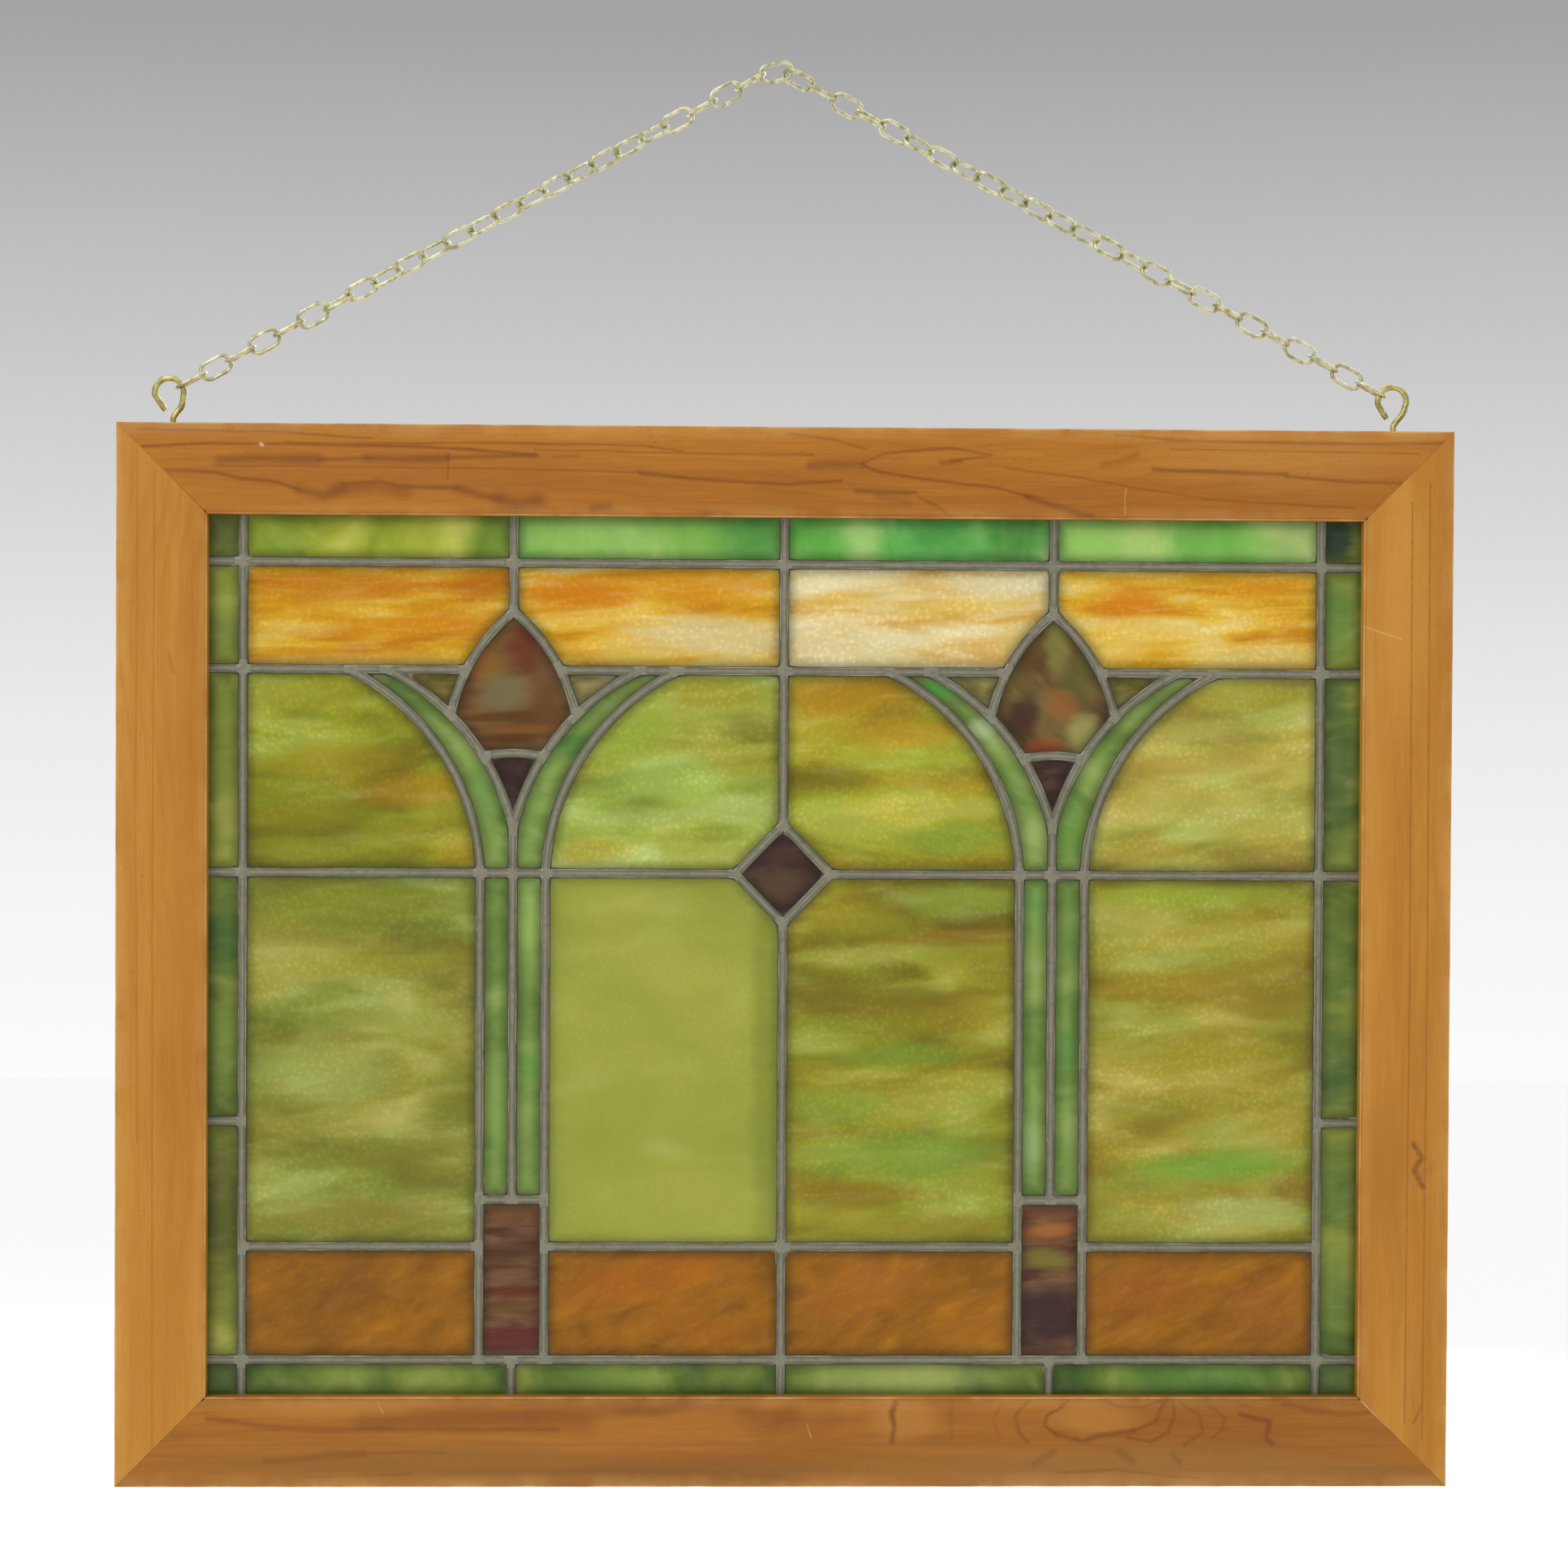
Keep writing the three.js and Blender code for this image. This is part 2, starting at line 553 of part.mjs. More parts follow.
// Over the links of TWIST each strand turns a quarter turn more than its links' count.
const twistOf = (side, k) =>
  TWIST[side].reduce((turn, { from, to }) => turn + THREE.MathUtils.smoothstep(k, from, to) / 2, 0);
const leftLinks = strandSolids(leftStart, leftEnd, LINKS_LEFT, (k) => 1 + twistOf('left', k));
const rightLinks = strandSolids(
  RIGHT_START,
  rightEnd,
  LINKS_RIGHT,
  (k) => twistOf('right', k) + (k === 0 ? FIRST_RIGHT_TURN : 0),
);
leftLinks.push(linkSolid(APEX_CENTRE.x, APEX_CENTRE.z, apexTilt, 0));
add(group, 'chain_left', geometryOf(joined(leftLinks)), 'brass');
add(group, 'chain_right', geometryOf(joined(rightLinks)), 'brass');

export default group;
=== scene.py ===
"""A leaded stained glass window in a pine frame, hung by a chain.

Everything is in metres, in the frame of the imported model: the origin is where the chain hangs,
the front of the window faces -Y and +Z is up. Flat shapes are drawn in X and Z.
"""
import math

import bpy
import numpy as np
from mathutils import Euler, Matrix, Vector, geometry, noise


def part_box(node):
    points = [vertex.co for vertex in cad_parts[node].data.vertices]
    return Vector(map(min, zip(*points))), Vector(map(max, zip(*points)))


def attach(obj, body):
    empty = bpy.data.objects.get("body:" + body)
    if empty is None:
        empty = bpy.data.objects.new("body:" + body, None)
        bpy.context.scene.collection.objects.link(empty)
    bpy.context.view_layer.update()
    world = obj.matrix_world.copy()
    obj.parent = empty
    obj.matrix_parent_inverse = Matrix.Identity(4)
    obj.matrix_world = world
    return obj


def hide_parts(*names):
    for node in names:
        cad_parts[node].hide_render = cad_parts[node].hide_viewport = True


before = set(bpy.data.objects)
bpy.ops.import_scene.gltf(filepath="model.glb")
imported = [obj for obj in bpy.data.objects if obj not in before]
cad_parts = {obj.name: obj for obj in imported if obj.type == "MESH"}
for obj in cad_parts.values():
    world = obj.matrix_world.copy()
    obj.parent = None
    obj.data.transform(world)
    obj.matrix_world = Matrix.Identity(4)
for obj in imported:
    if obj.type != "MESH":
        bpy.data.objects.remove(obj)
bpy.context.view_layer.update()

MM = 0.001
UP = Vector((0, 0, 1))


# ---- places and sizes --------------------------------------------------------------------------

FRAME_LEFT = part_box("left_stile")[0].x
FRAME_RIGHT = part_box("right_stile")[1].x
FRAME_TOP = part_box("top_rail")[1].z
FRAME_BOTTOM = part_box("bottom_rail")[0].z
FRAME_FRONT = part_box("top_rail")[0].y
FRAME_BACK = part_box("top_rail")[1].y
BOARD_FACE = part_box("left_stile")[1].x - FRAME_LEFT
SIGHT = (
    FRAME_LEFT + BOARD_FACE,
    FRAME_RIGHT - BOARD_FACE,
    FRAME_BOTTOM + BOARD_FACE,
    FRAME_TOP - BOARD_FACE,
)
CAME_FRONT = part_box("lead_came")[0].y
GLASS_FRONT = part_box("field_lower_2")[0].y

CAME_HALF = 2.0 * MM
HEART_HALF = 0.6 * MM
CAME_STEP = 3.5 * MM
PANE_STEP = 1.35 * MM
BACK_STEP = 4.5 * MM
PANE_GAP = 0.3 * MM  # between a pane and the heart of its came
SIDE_SEED = 70  # the panes beside the buds count their seeds from here


def at(x, down):
    """A place on the front, given in millimetres from the frame's top left corner."""
    return Vector((FRAME_LEFT + x * MM, 0, FRAME_TOP - down * MM))


def srgb(red, green, blue):
    """A colour as it is seen, from 0 to 255, turned into linear light."""
    parts = (red / 255, green / 255, blue / 255)
    linear = [c / 12.92 if c <= 0.04045 else ((c + 0.055) / 1.055) ** 2.4 for c in parts]
    return (*linear, 1.0)


# ---- meshes ------------------------------------------------------------------------------------

def new_piece(name, points, faces, material, node_names=(), slot=None, smooth=40):
    """A mesh object that rides on the model's only body. smooth is the sharpest smoothed angle."""
    mesh = bpy.data.meshes.new(name)
    mesh.from_pydata([tuple(p) for p in points], [], faces)
    mesh.validate()
    mesh.shade_smooth()
    mesh.set_sharp_from_angle(angle=math.radians(smooth))
    mesh.materials.append(material)
    piece = bpy.data.objects.new(name, mesh)
    bpy.context.scene.collection.objects.link(piece)
    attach(piece, "root")
    if node_names:
        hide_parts(*node_names)
    return piece


def mark_points(piece, name, values):
    """Stores one number for each point of a piece, for its material to read."""
    layer = piece.data.attributes.new(name, "FLOAT", "POINT")
    layer.data.foreach_set("value", np.asarray(values, np.float32))


class Builder:
    """Gathers the points and faces of several closed bodies, which become one piece."""

    def __init__(self):
        self.points = []
        self.faces = []
        self.marks = []

    def tube(self, rings, marks=None, closed=True):
        """Joins rings of equally many points. A tube that isn't closed gets two flat ends."""
        start, sides, count = len(self.points), len(rings[0]), len(rings)
        for ring in rings:
            self.points.extend(ring)
            self.marks.extend(marks or [0.0] * sides)
        for i in range(count if closed else count - 1):
            here, there = start + i * sides, start + (i + 1) % count * sides
            for j in range(sides):
                k = (j + 1) % sides
                self.faces.append((here + j, here + k, there + k, there + j))
        if not closed:
            self.faces.append(tuple(start + j for j in reversed(range(sides))))
            self.faces.append(tuple(start + (count - 1) * sides + j for j in range(sides)))

    def piece(self, name, material, **options):
        return new_piece(name, self.points, self.faces, material, **options)


def round_rings(path, radius, sides, closed=False):
    """Circles about each point of a path, square to it, with no twist. radius may be a list."""
    count = len(path)
    radii = radius if isinstance(radius, list) else [radius] * count
    rings = []
    across = None
    for i, point in enumerate(path):
        before = path[i - 1] if closed or i else point
        after = path[(i + 1) % count] if closed or i < count - 1 else point
        along = (after - before).normalized()
        if across is None:
            across = along.cross(Vector((0, 1, 0)) if abs(along.y) < 0.9 else UP)
        across = (across - along * across.dot(along)).normalized()
        other = along.cross(across)
        turns = [math.tau * j / sides for j in range(sides)]
        rings.append([point + radii[i] * (across * math.cos(t) + other * math.sin(t)) for t in turns])
    return rings


# ---- outlines taken from the model -------------------------------------------------------------

CORNER_TURN = math.radians(14)


def flat_loops(node, y):
    """The boundaries of a node's faces in the plane at y, each a loop of (x, z) with its face on the left."""
    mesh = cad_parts[node].data
    edges = {}
    for face in mesh.polygons:
        corners = [mesh.vertices[i].co for i in face.vertices]
        if any(abs(c.y - y) > 0.02 * MM for c in corners):
            continue
        keys = [(round(c.x * 1e6), round(c.z * 1e6)) for c in corners]
        if face.normal.y > 0:
            keys.reverse()
        for here, there in zip(keys, keys[1:] + keys[:1]):
            if edges.get(there) and here in edges[there]:
                edges[there].remove(here)
            else:
                edges.setdefault(here, []).append(there)
    edges = {here: there for here, there in edges.items() if there}
    loops = []
    while edges:
        here = next(iter(edges))
        loop = []
        while here in edges:
            loop.append(Vector((here[0] * 1e-6, here[1] * 1e-6)))
            there = edges[here].pop()
            if not edges[here]:
                del edges[here]
            here = there
        loops.append(straightened(loop))
    return loops


def turn_at(loop, i):
    before = loop[i] - loop[i - 1]
    after = loop[(i + 1) % len(loop)] - loop[i]
    return math.atan2(before.x * after.y - before.y * after.x, before.dot(after))


def straightened(loop):
    """The loop without the points that lie in the middle of a straight edge."""
    return [p for i, p in enumerate(loop) if abs(turn_at(loop, i)) > math.radians(0.3)]


def area(loop):
    return sum(a.x * b.y - b.x * a.y for a, b in zip(loop, loop[1:] + loop[:1])) / 2


def circle_through(a, b, c):
    ab, ac = b - a, c - a
    twice = 2 * (ab.x * ac.y - ab.y * ac.x)
    x = (ac.y * ab.length_squared - ab.y * ac.length_squared) / twice
    y = (ab.x * ac.length_squared - ac.x * ab.length_squared) / twice
    return a + Vector((x, y))


def run_points(run, step):
    """Points at even steps along a straight edge, or along the arc that a run of facets stands for."""
    first, last = run[0], run[-1]
    if len(run) == 2:
        count = max(1, round((last - first).length / step))
        return [first.lerp(last, i / count) for i in range(count)]
    middle = run[len(run) // 2]
    centre = circle_through(first, middle, last)
    arm = first - centre
    start = math.atan2(arm.y, arm.x)
    end = math.atan2((last - centre).y, (last - centre).x)
    side = (middle - first).x * (last - first).y - (middle - first).y * (last - first).x
    sweep = (end - start) % math.tau if side > 0 else -((start - end) % math.tau)
    count = max(2, round(abs(sweep) * arm.length / step))
    angles = [start + sweep * i / count for i in range(count)]
    return [centre + arm.length * Vector((math.cos(a), math.sin(a))) for a in angles]


def resampled(loop, step):
    """The loop as (points, places of its corners), with true arcs instead of facets."""
    corners = [i for i in range(len(loop)) if abs(turn_at(loop, i)) > CORNER_TURN]
    points, places = [], []
    for n, i in enumerate(corners):
        j = corners[(n + 1) % len(corners)]
        length = (j - i) % len(loop) or len(loop)
        places.append(len(points))
        points.extend(run_points([loop[(i + k) % len(loop)] for k in range(length + 1)], step))
    return points, places


def moved_out(loop, i, distance):
    """Point i of a loop, moved out square to its edges, to a mitre at a corner."""
    before = (loop[i] - loop[i - 1]).normalized()
    after = (loop[(i + 1) % len(loop)] - loop[i]).normalized()
    normal = Vector((before.y, -before.x)) + Vector((after.y, -after.x))
    return loop[i] + normal * (distance / (1 + before.dot(after)))


# The lead's front shows every cell of the pattern as an opening, and its outer edge as one more.
openings = [loop[::-1] for loop in flat_loops("lead_came", CAME_FRONT) if area(loop) < 0]


# ---- node trees --------------------------------------------------------------------------------

class Tree:
    """A short way to write nodes, for a new material of a given name or for a world."""

    def __init__(self, owner):
        self.owner = bpy.data.materials.new(owner) if isinstance(owner, str) else owner
        self.owner.use_nodes = True
        self.nodes = self.owner.node_tree.nodes
        self.links = self.owner.node_tree.links
        self.nodes.clear()

    def add(self, kind, settings=None, **inputs):
        """A new node. An input's name has _ for a space, and takes a value or another output."""
        made = self.nodes.new(f"ShaderNode{kind}")
        for key, value in (settings or {}).items():
            setattr(made, key, value)
        for key, value in inputs.items():
            self.feed(made.inputs[key.replace("_", " ")], value)
        return made

    def feed(self, socket, value):
        if isinstance(value, bpy.types.NodeSocket):
            self.links.new(value, socket)
        else:
            socket.default_value = value

    def math(self, operation, *values):
        made = self.add("Math", {"operation": operation})
        for socket, value in zip(made.inputs, values):
            self.feed(socket, value)
        return made.outputs[0]

    def mix(self, factor, one, other, mode="MIX"):
        made = self.add("Mix", {"data_type": "RGBA", "blend_type": mode})
        for index, value in ((0, factor), (6, one), (7, other)):
            self.feed(made.inputs[index], value)
        return made.outputs[2]

    def span(self, value, low, high, to_low=0.0, to_high=1.0):
        """value brought smoothly from low..high to to_low..to_high."""
        made = self.add("MapRange", {"interpolation_type": "SMOOTHSTEP"})
        for socket, number in zip(made.inputs, (value, low, high, to_low, to_high)):
            self.feed(socket, number)
        return made.outputs[0]

    def ramp(self, value, stops):
        """Colours at places from 0 to 1."""
        made = self.add("ValToRGB", Fac=value)
        elements = made.color_ramp.elements
        while len(elements) < len(stops):
            elements.new(0.5)
        for element, (place, colour) in zip(elements, stops):
            element.position = place
            element.color = colour
        return made.outputs[0]

    def place(self):
        return self.add("TexCoord").outputs["Object"]

    def stretched(self, vector, scale, tilt=0, offset=(0, 0, 0)):
        """Coordinates turned by tilt degrees in the window's plane, then scaled along X, Y and Z."""
        turn = self.add("VectorRotate", {"rotation_type": "Y_AXIS"}, Vector=vector, Angle=math.radians(tilt))
        made = self.add("Mapping", Vector=turn.outputs[0], Scale=scale, Location=offset)
        return made.outputs[0]

    def noise(self, vector, scale=1.0, detail=2.0, roughness=0.5, distortion=0.0):
        made = self.add(
            "TexNoise",
            Vector=vector,
            Scale=scale,
            Detail=detail,
            Roughness=roughness,
            Distortion=distortion,
        )
        return made.outputs[0]

    def attribute(self, name):
        return self.add("Attribute", {"attribute_name": name}).outputs["Fac"]

    def spots(self, vector, colour, spots, ragged=0.5):
        """Lays soft patches of colour over a colour. Each is
        (x, down, half length, half height, tilt, colour, strength), placed in millimetres from
        the frame's top left corner and broken up at its edge as far as ragged says."""
        if not spots:
            return colour
        wander = self.noise(self.stretched(vector, (42, 42, 150)), detail=3, roughness=0.55)
        for x, down, half_x, half_z, tilt, shade, strength in spots:
            centre = at(x, down)
            shift = self.vector_math("SUBTRACT", vector, centre)
            size = (1 / (half_x * MM), 0, 1 / (half_z * MM))
            reach = self.vector_math("LENGTH", self.stretched(shift, size, tilt), output=1)
            edge = self.math("MULTIPLY_ADD", wander, 2 * ragged, reach)
            amount = self.span(edge, 0.35 + ragged, 1.25 + ragged, strength, 0.0)
            colour = self.mix(amount, colour, srgb(*shade))
        return colour

    def wavered(self, vector, amount):
        """Coordinates pushed up and down by a slow noise, so that what is drawn on them wavers."""
        slow = self.noise(self.stretched(vector, (34, 34, 60)), detail=4, roughness=0.55)
        push = self.math("MULTIPLY_ADD", slow, 2 * amount, -amount)
        shift = self.add("CombineXYZ", Z=push)
        return self.vector_math("ADD", vector, shift.outputs[0])

    def vector_math(self, operation, *values, output=0, scale=None):
        made = self.add("VectorMath", {"operation": operation})
        for socket, value in zip(made.inputs, values):
            self.feed(socket, value)
        if scale is not None:
            self.feed(made.inputs["Scale"], scale)
        return made.outputs[output]

    def line_distance(self, vector, points):
        """How far a place is from a line through points, in metres, seen square to the window."""
        nearest = None
        flat = self.vector_math("MULTIPLY", vector, (1, 0, 1))
        for a, b in zip(points, points[1:]):
            along = b - a
            arm = self.vector_math("SUBTRACT", flat, a)
            share = self.vector_math("DOT_PRODUCT", arm, along / along.length_squared, output=1)
            share = self.math("MINIMUM", self.math("MAXIMUM", share, 0.0), 1.0)
            foot = self.vector_math("SCALE", along, scale=share)
            off = self.vector_math("DISTANCE", arm, foot, output=1)
            nearest = off if nearest is None else self.math("MINIMUM", nearest, off)
        return nearest

    def streaks(self, vector, colour, streaks):
        """Draws lines of grain over a colour. Each is (half width, strength, colour, points), with
        its points (x, down) in millimetres from the frame's top left corner."""
        fray = self.noise(self.stretched(vector, (55, 55, 300)), detail=4, roughness=0.65)
        for half_width, strength, shade, points in streaks:
            off = self.line_distance(vector, [at(*point) for point in points])
            frayed = self.math("MULTIPLY_ADD", fray, half_width * 2.6 * MM, off)
            amount = self.span(frayed, half_width * 0.9 * MM, half_width * 3.9 * MM, strength, 0.0)
            colour = self.mix(amount, colour, srgb(*shade))
        return colour

    def finish(self, shader):
        self.add("OutputMaterial", Surface=shader)
        return self.owner

    def bump(self, height, strength, distance):
        return self.add("Bump", Strength=strength, Distance=distance, Height=height).outputs[0]


# ---- glass -------------------------------------------------------------------------------------

GLOW = 1.42  # how much brighter the glass is than its colours are written: a painted brightening that stands in for more light through the glass
GREENER = (0.66, 1.02, 1.05, 1)  # what turns gold glass to green


def slag_glass(
    name, palette, stretch, tilt, spots, grain, seed, milk=0.12, rim_shade=0.42, depth=0.5, turn=0.0
):
    """Opalescent glass: streaks of a palette, patches, wisps of milk, a rolled surface and painted glints.
    stretch is the size of the streaks in millimetres, along and across them, and depth how much of
    the palette they run through. grain sets how grainy the bumps are and how strong the painted glints are.
    milk, turn and rim_shade are the strengths of the pale wisps, of the turn to green and of the
    dirt and painted shade along the lead and the boards."""
    tree = Tree(name)
    place = tree.place()
    offset = (seed * 3.7, seed * 1.3, seed * 2.9)
    along, across = stretch
    broad = tree.stretched(place, (1 / (along * MM), 1, 1 / (across * MM)), tilt, offset)
    streak = tree.noise(broad, detail=3, roughness=0.5, distortion=0.6)
    streak = tree.span(streak, 0.5 - depth / 2, 0.5 + depth / 2)
    steps = len(palette) - 1
    colour = tree.ramp(streak, [(i / steps, srgb(*shade)) for i, shade in enumerate(palette)])
    greener = tree.noise(tree.stretched(broad, (0.8, 1, 0.7), offset=(5, 0, 9)), detail=3, roughness=0.55)
    colour = tree.mix(tree.span(greener, 0.42, 0.6, 0.0, turn), colour, GREENER, "MULTIPLY")
    colour = tree.spots(place, colour, spots)
    fine = tree.stretched(place, (2.0 / (along * MM), 1, 3.2 / (across * MM)), tilt, offset)
    wisps = tree.noise(fine, detail=2, roughness=0.5, distortion=0.5)
    colour = tree.mix(tree.span(wisps, 0.5, 0.8, 0.0, milk), colour, srgb(226, 222, 168))
    colour = tree.mix(tree.span(wisps, 0.2, 0.5, 0.1, 0.0), colour, srgb(128, 104, 30), "MULTIPLY")
    # Painted glints: soft bright spots in small cells, light caught by a grainy surface painted into the
    # colour, with GLOW's painted brightening on top.
    cells = tree.add("TexVoronoi", {"feature": "SMOOTH_F1"}, Vector=place, Scale=470, Smoothness=0.8)
    patchy = tree.span(tree.noise(broad, scale=2.2, detail=2), 0.35, 0.65, 0.35, 1.0)
    painted_glints = tree.math("MULTIPLY", tree.span(cells.outputs["Distance"], 0.08, 0.56, 1.0, 0.0), patchy)
    glint = tree.math("MULTIPLY_ADD", painted_glints, GLOW * 0.24 * grain, GLOW * (1 - 0.08 * grain))
    colour = tree.mix(1.0, colour, glint, "MULTIPLY")
    # Darker near the rim mark: dirt along the lead, and painted shade along the lead and the boards.
    rim = tree.attribute("rim")
    dirt_and_painted_shade = tree.math("MULTIPLY", tree.span(rim, 0.0, 5.0, 1.0, 0.0), rim_shade)
    colour = tree.mix(dirt_and_painted_shade, colour, srgb(108, 106, 66), "MULTIPLY")
    height = tree.noise(place, 620 if grain else 240, detail=3, roughness=0.55)
    normal = tree.bump(height, 0.22 if grain else 0.1, 0.35 * MM)
    skin = tree.add(
        "BsdfPrincipled",
        Base_Color=colour,
        Roughness=0.2,
        IOR=1.52,
        Specular_IOR_Level=0.35,
        Normal=normal,
    )
    through = tree.add("BsdfTranslucent", Color=colour, Normal=normal)
    both = tree.add("MixShader", Fac=0.5)
    tree.feed(both.inputs[1], skin.outputs[0])
    tree.feed(both.inputs[2], through.outputs[0])
    return tree.finish(both.outputs[0])


def inside(loop, x, z):
    """Which of the points (x, z) lie inside a loop, given as two arrays."""
    hit = np.zeros(x.shape, bool)
    for a, b in zip(loop, loop[1:] + loop[:1]):
        if a.y == b.y:
            continue
        crosses = (a.y > z) != (b.y > z)
        hit ^= crosses & (x < (b.x - a.x) * (z - a.y) / (b.y - a.y) + a.x)
    return hit


def distance_to(loop, x, z):
    """How far each of the points (x, z) is from a loop's edges."""
    best = np.full(x.shape, 1.0)
    for a, b in zip(loop, loop[1:] + loop[:1]):
        edge = b - a
        t = np.clip(((x - a.x) * edge.x + (z - a.y) * edge.y) / edge.length_squared, 0, 1)
        best = np.minimum(best, np.hypot(x - a.x - t * edge.x, z - a.y - t * edge.y))
    return best


def filled(loop, step, rng):
    """The triangles of a loop's inside, with points about one step apart."""
    xs, zs = [p.x for p in loop], [p.y for p in loop]
    rows = np.arange(min(zs), max(zs), step * 0.866)
    columns = np.arange(min(xs), max(xs), step)
    x, z = np.meshgrid(columns, rows)
    x[1::2] += step / 2
    x = x.ravel() + rng.uniform(-0.12, 0.12, x.size) * step
    z = z.ravel() + rng.uniform(-0.12, 0.12, z.size) * step
    keep = inside(loop, x, z)
    x, z = x[keep], z[keep]
    keep = distance_to(loop, x, z) > 0.55 * step
    points = list(loop) + [Vector(pair) for pair in zip(x[keep], z[keep])]
    border = [(i, (i + 1) % len(loop)) for i in range(len(loop))]
    made = geometry.delaunay_2d_cdt(points, border, [], 1, 1e-7)
    return made[0], made[2]


def relief(x, z, grain, seed):
    """The height of the rolled surface over the pane, in metres."""
    place = Vector((x, seed * 0.61, z))
    swell = noise.noise(place * 55) * 0.10
    ripple = noise.noise(place * 240) * 0.045
    grains = noise.noise(place * 520) * 0.10 * grain
    return (swell + ripple + grains) * MM


def shaded_by_frame(x, z):
    """How far each of the points (x, z) is from the boards, whose painted shadow falls on the glass beside
    them.
    """
    left, right, bottom, top = SIGHT
    return np.maximum(np.minimum.reduce([x - left, right - x, z - bottom, top - z]), 0)


def make_pane(name, outline, opening, material, grain, seed, node_names, slot):
    """A pane with a rolled front, a plain back and its edges out of sight in the lead."""
    rng = np.random.default_rng(seed)
    loop, _ = resampled(outline, PANE_STEP * 1.2)
    seen, _ = resampled(opening, PANE_STEP * 2)
    points, faces, rims = [], [], []
    for y, step, way in ((GLASS_FRONT, PANE_STEP, -1), (-GLASS_FRONT, BACK_STEP, 1)):
        flat, triangles = filled(loop, step, rng)
        x = np.array([p.x for p in flat])
        z = np.array([p.y for p in flat])
        rim = distance_to(seen, x, z) * np.where(inside(seen, x, z), 1, 0)
        shadow = shaded_by_frame(x, z)
        start = len(points)
        for i, p in enumerate(flat):
            level = relief(p.x, p.y, grain if way < 0 else 0.0, seed) * min(1.0, rim[i] / (2 * MM))
            points.append((p.x, y + way * level, p.y))
        # The rim mark is the distance to the lead or to the boards, whichever is nearer: the glass is
        # darkened along it, for dirt and painted shade.
        rims.extend(np.minimum(rim, shadow) / MM)
        faces.extend(tuple(start + i for i in (t if way < 0 else t[::-1])) for t in triangles)
        if way > 0:
            count = len(loop)
            faces.extend((i, start + i, start + (i + 1) % count, (i + 1) % count) for i in range(count))
    piece = new_piece(name, points, faces, material, node_names=node_names, slot=slot, smooth=50)
    mark_points(piece, "rim", rims)
    return piece


# Palettes run from the darkest streak to the lightest.
GREEN_BORDER = ((60, 88, 40), (96, 120, 48), (126, 142, 60), (160, 168, 84))
OLIVE_BORDER = ((84, 104, 42), (120, 134, 54), (144, 150, 64), (172, 172, 90))
YELLOW_GREEN = ((108, 126, 38), (142, 154, 46), (168, 174, 68), (192, 190, 104))
BRIGHT_GREEN = ((74, 142, 62), (96, 166, 80), (132, 188, 108), (184, 206, 146))
PALE_GREEN = ((104, 154, 68), (128, 172, 90), (154, 186, 110), (188, 202, 142))
LEAF_GREEN = ((92, 120, 56), (116, 142, 68), (138, 160, 86), (160, 174, 110))
AMBER = ((176, 122, 10), (188, 142, 16), (194, 160, 36), (198, 178, 78))
CREAM = ((190, 156, 74), (200, 180, 122), (206, 196, 156), (212, 206, 178))
GOLD = ((180, 126, 14), (195, 158, 32), (202, 176, 74), (206, 194, 134))
OLIVE = ((122, 108, 22), (142, 136, 30), (158, 154, 44), (176, 172, 80))
OLIVE_GOLD = ((134, 112, 24), (156, 144, 36), (170, 164, 50), (186, 180, 84))
BROWN_AMBER = ((118, 78, 6), (142, 96, 8), (158, 108, 12), (176, 126, 24))
MAROON = ((70, 44, 34), (96, 58, 42), (116, 80, 50), (130, 100, 66))
DARK_MAROON = ((56, 38, 34), (66, 44, 38), (78, 54, 46), (92, 70, 54))
BUD_SIDE = ((112, 104, 44), (132, 122, 60), (148, 138, 80), (162, 154, 104))

ORANGE = (180, 118, 8)
DEEP_ORANGE = (190, 130, 12)
BRIGHT_CREAM = (196, 184, 140)
CREAM_YELLOW = (198, 176, 92)
BROWN_GOLD = (168, 136, 24)
MINT = (170, 178, 104)
PALE_MINT = (166, 176, 108)
LEAF_TIP = (146, 148, 92)

# Each kind of glass: its material slot, then what slag_glass is told of it.
KINDS = {
    "amber_top": dict(
        slot="amber_glass",
        palette=AMBER, stretch=(46, 9), tilt=2, grain=0.8, milk=0.16, depth=0.5,
    ),
    "field": dict(
        slot="olive_glass",
        palette=OLIVE, stretch=(60, 20), tilt=3, grain=0.9, milk=0.1, depth=0.5, turn=0.42,
    ),
    "base_amber": dict(
        slot="brown_amber_glass",
        palette=BROWN_AMBER, stretch=(20, 9), tilt=24, grain=0.5, milk=0.04, depth=0.9,
    ),
    "border": dict(
        slot="border_green_glass",
        palette=GREEN_BORDER, stretch=(26, 40), tilt=12, grain=0.2, milk=0.08, depth=0.6,
    ),
    "side": dict(
        slot="border_green_glass",
        palette=OLIVE_BORDER, stretch=(34, 20), tilt=6, grain=0.2, milk=0.08, depth=0.6,
    ),
    "leaf": dict(
        slot="leaf_green_glass",
        palette=LEAF_GREEN, stretch=(30, 18), tilt=-20, grain=0.2, milk=0.08, depth=0.7,
    ),
    "stem": dict(
        slot="leaf_green_glass",
        palette=LEAF_GREEN, stretch=(30, 24), tilt=4, grain=0.2, milk=0.06, depth=0.7,
    ),
    "maroon": dict(
        slot="maroon_glass",
        palette=MAROON, stretch=(30, 12), tilt=4, grain=0.0, milk=0.02, rim_shade=0.4,
    ),
    "dark_maroon": dict(
        slot="maroon_glass",
        palette=DARK_MAROON, stretch=(20, 9), tilt=8, grain=0.0, milk=0.0, rim_shade=0.3,
    ),
    "bud_side": dict(
        slot="olive_glass",
        palette=BUD_SIDE, stretch=(16, 7), tilt=0, grain=0.3, rim_shade=0.5,
    ),
}


def look(kind, *spots, **changes):
    """The look of one pane: its kind of glass, what differs from it, and its patches."""
    return {"kind": kind, "spots": spots, **changes}


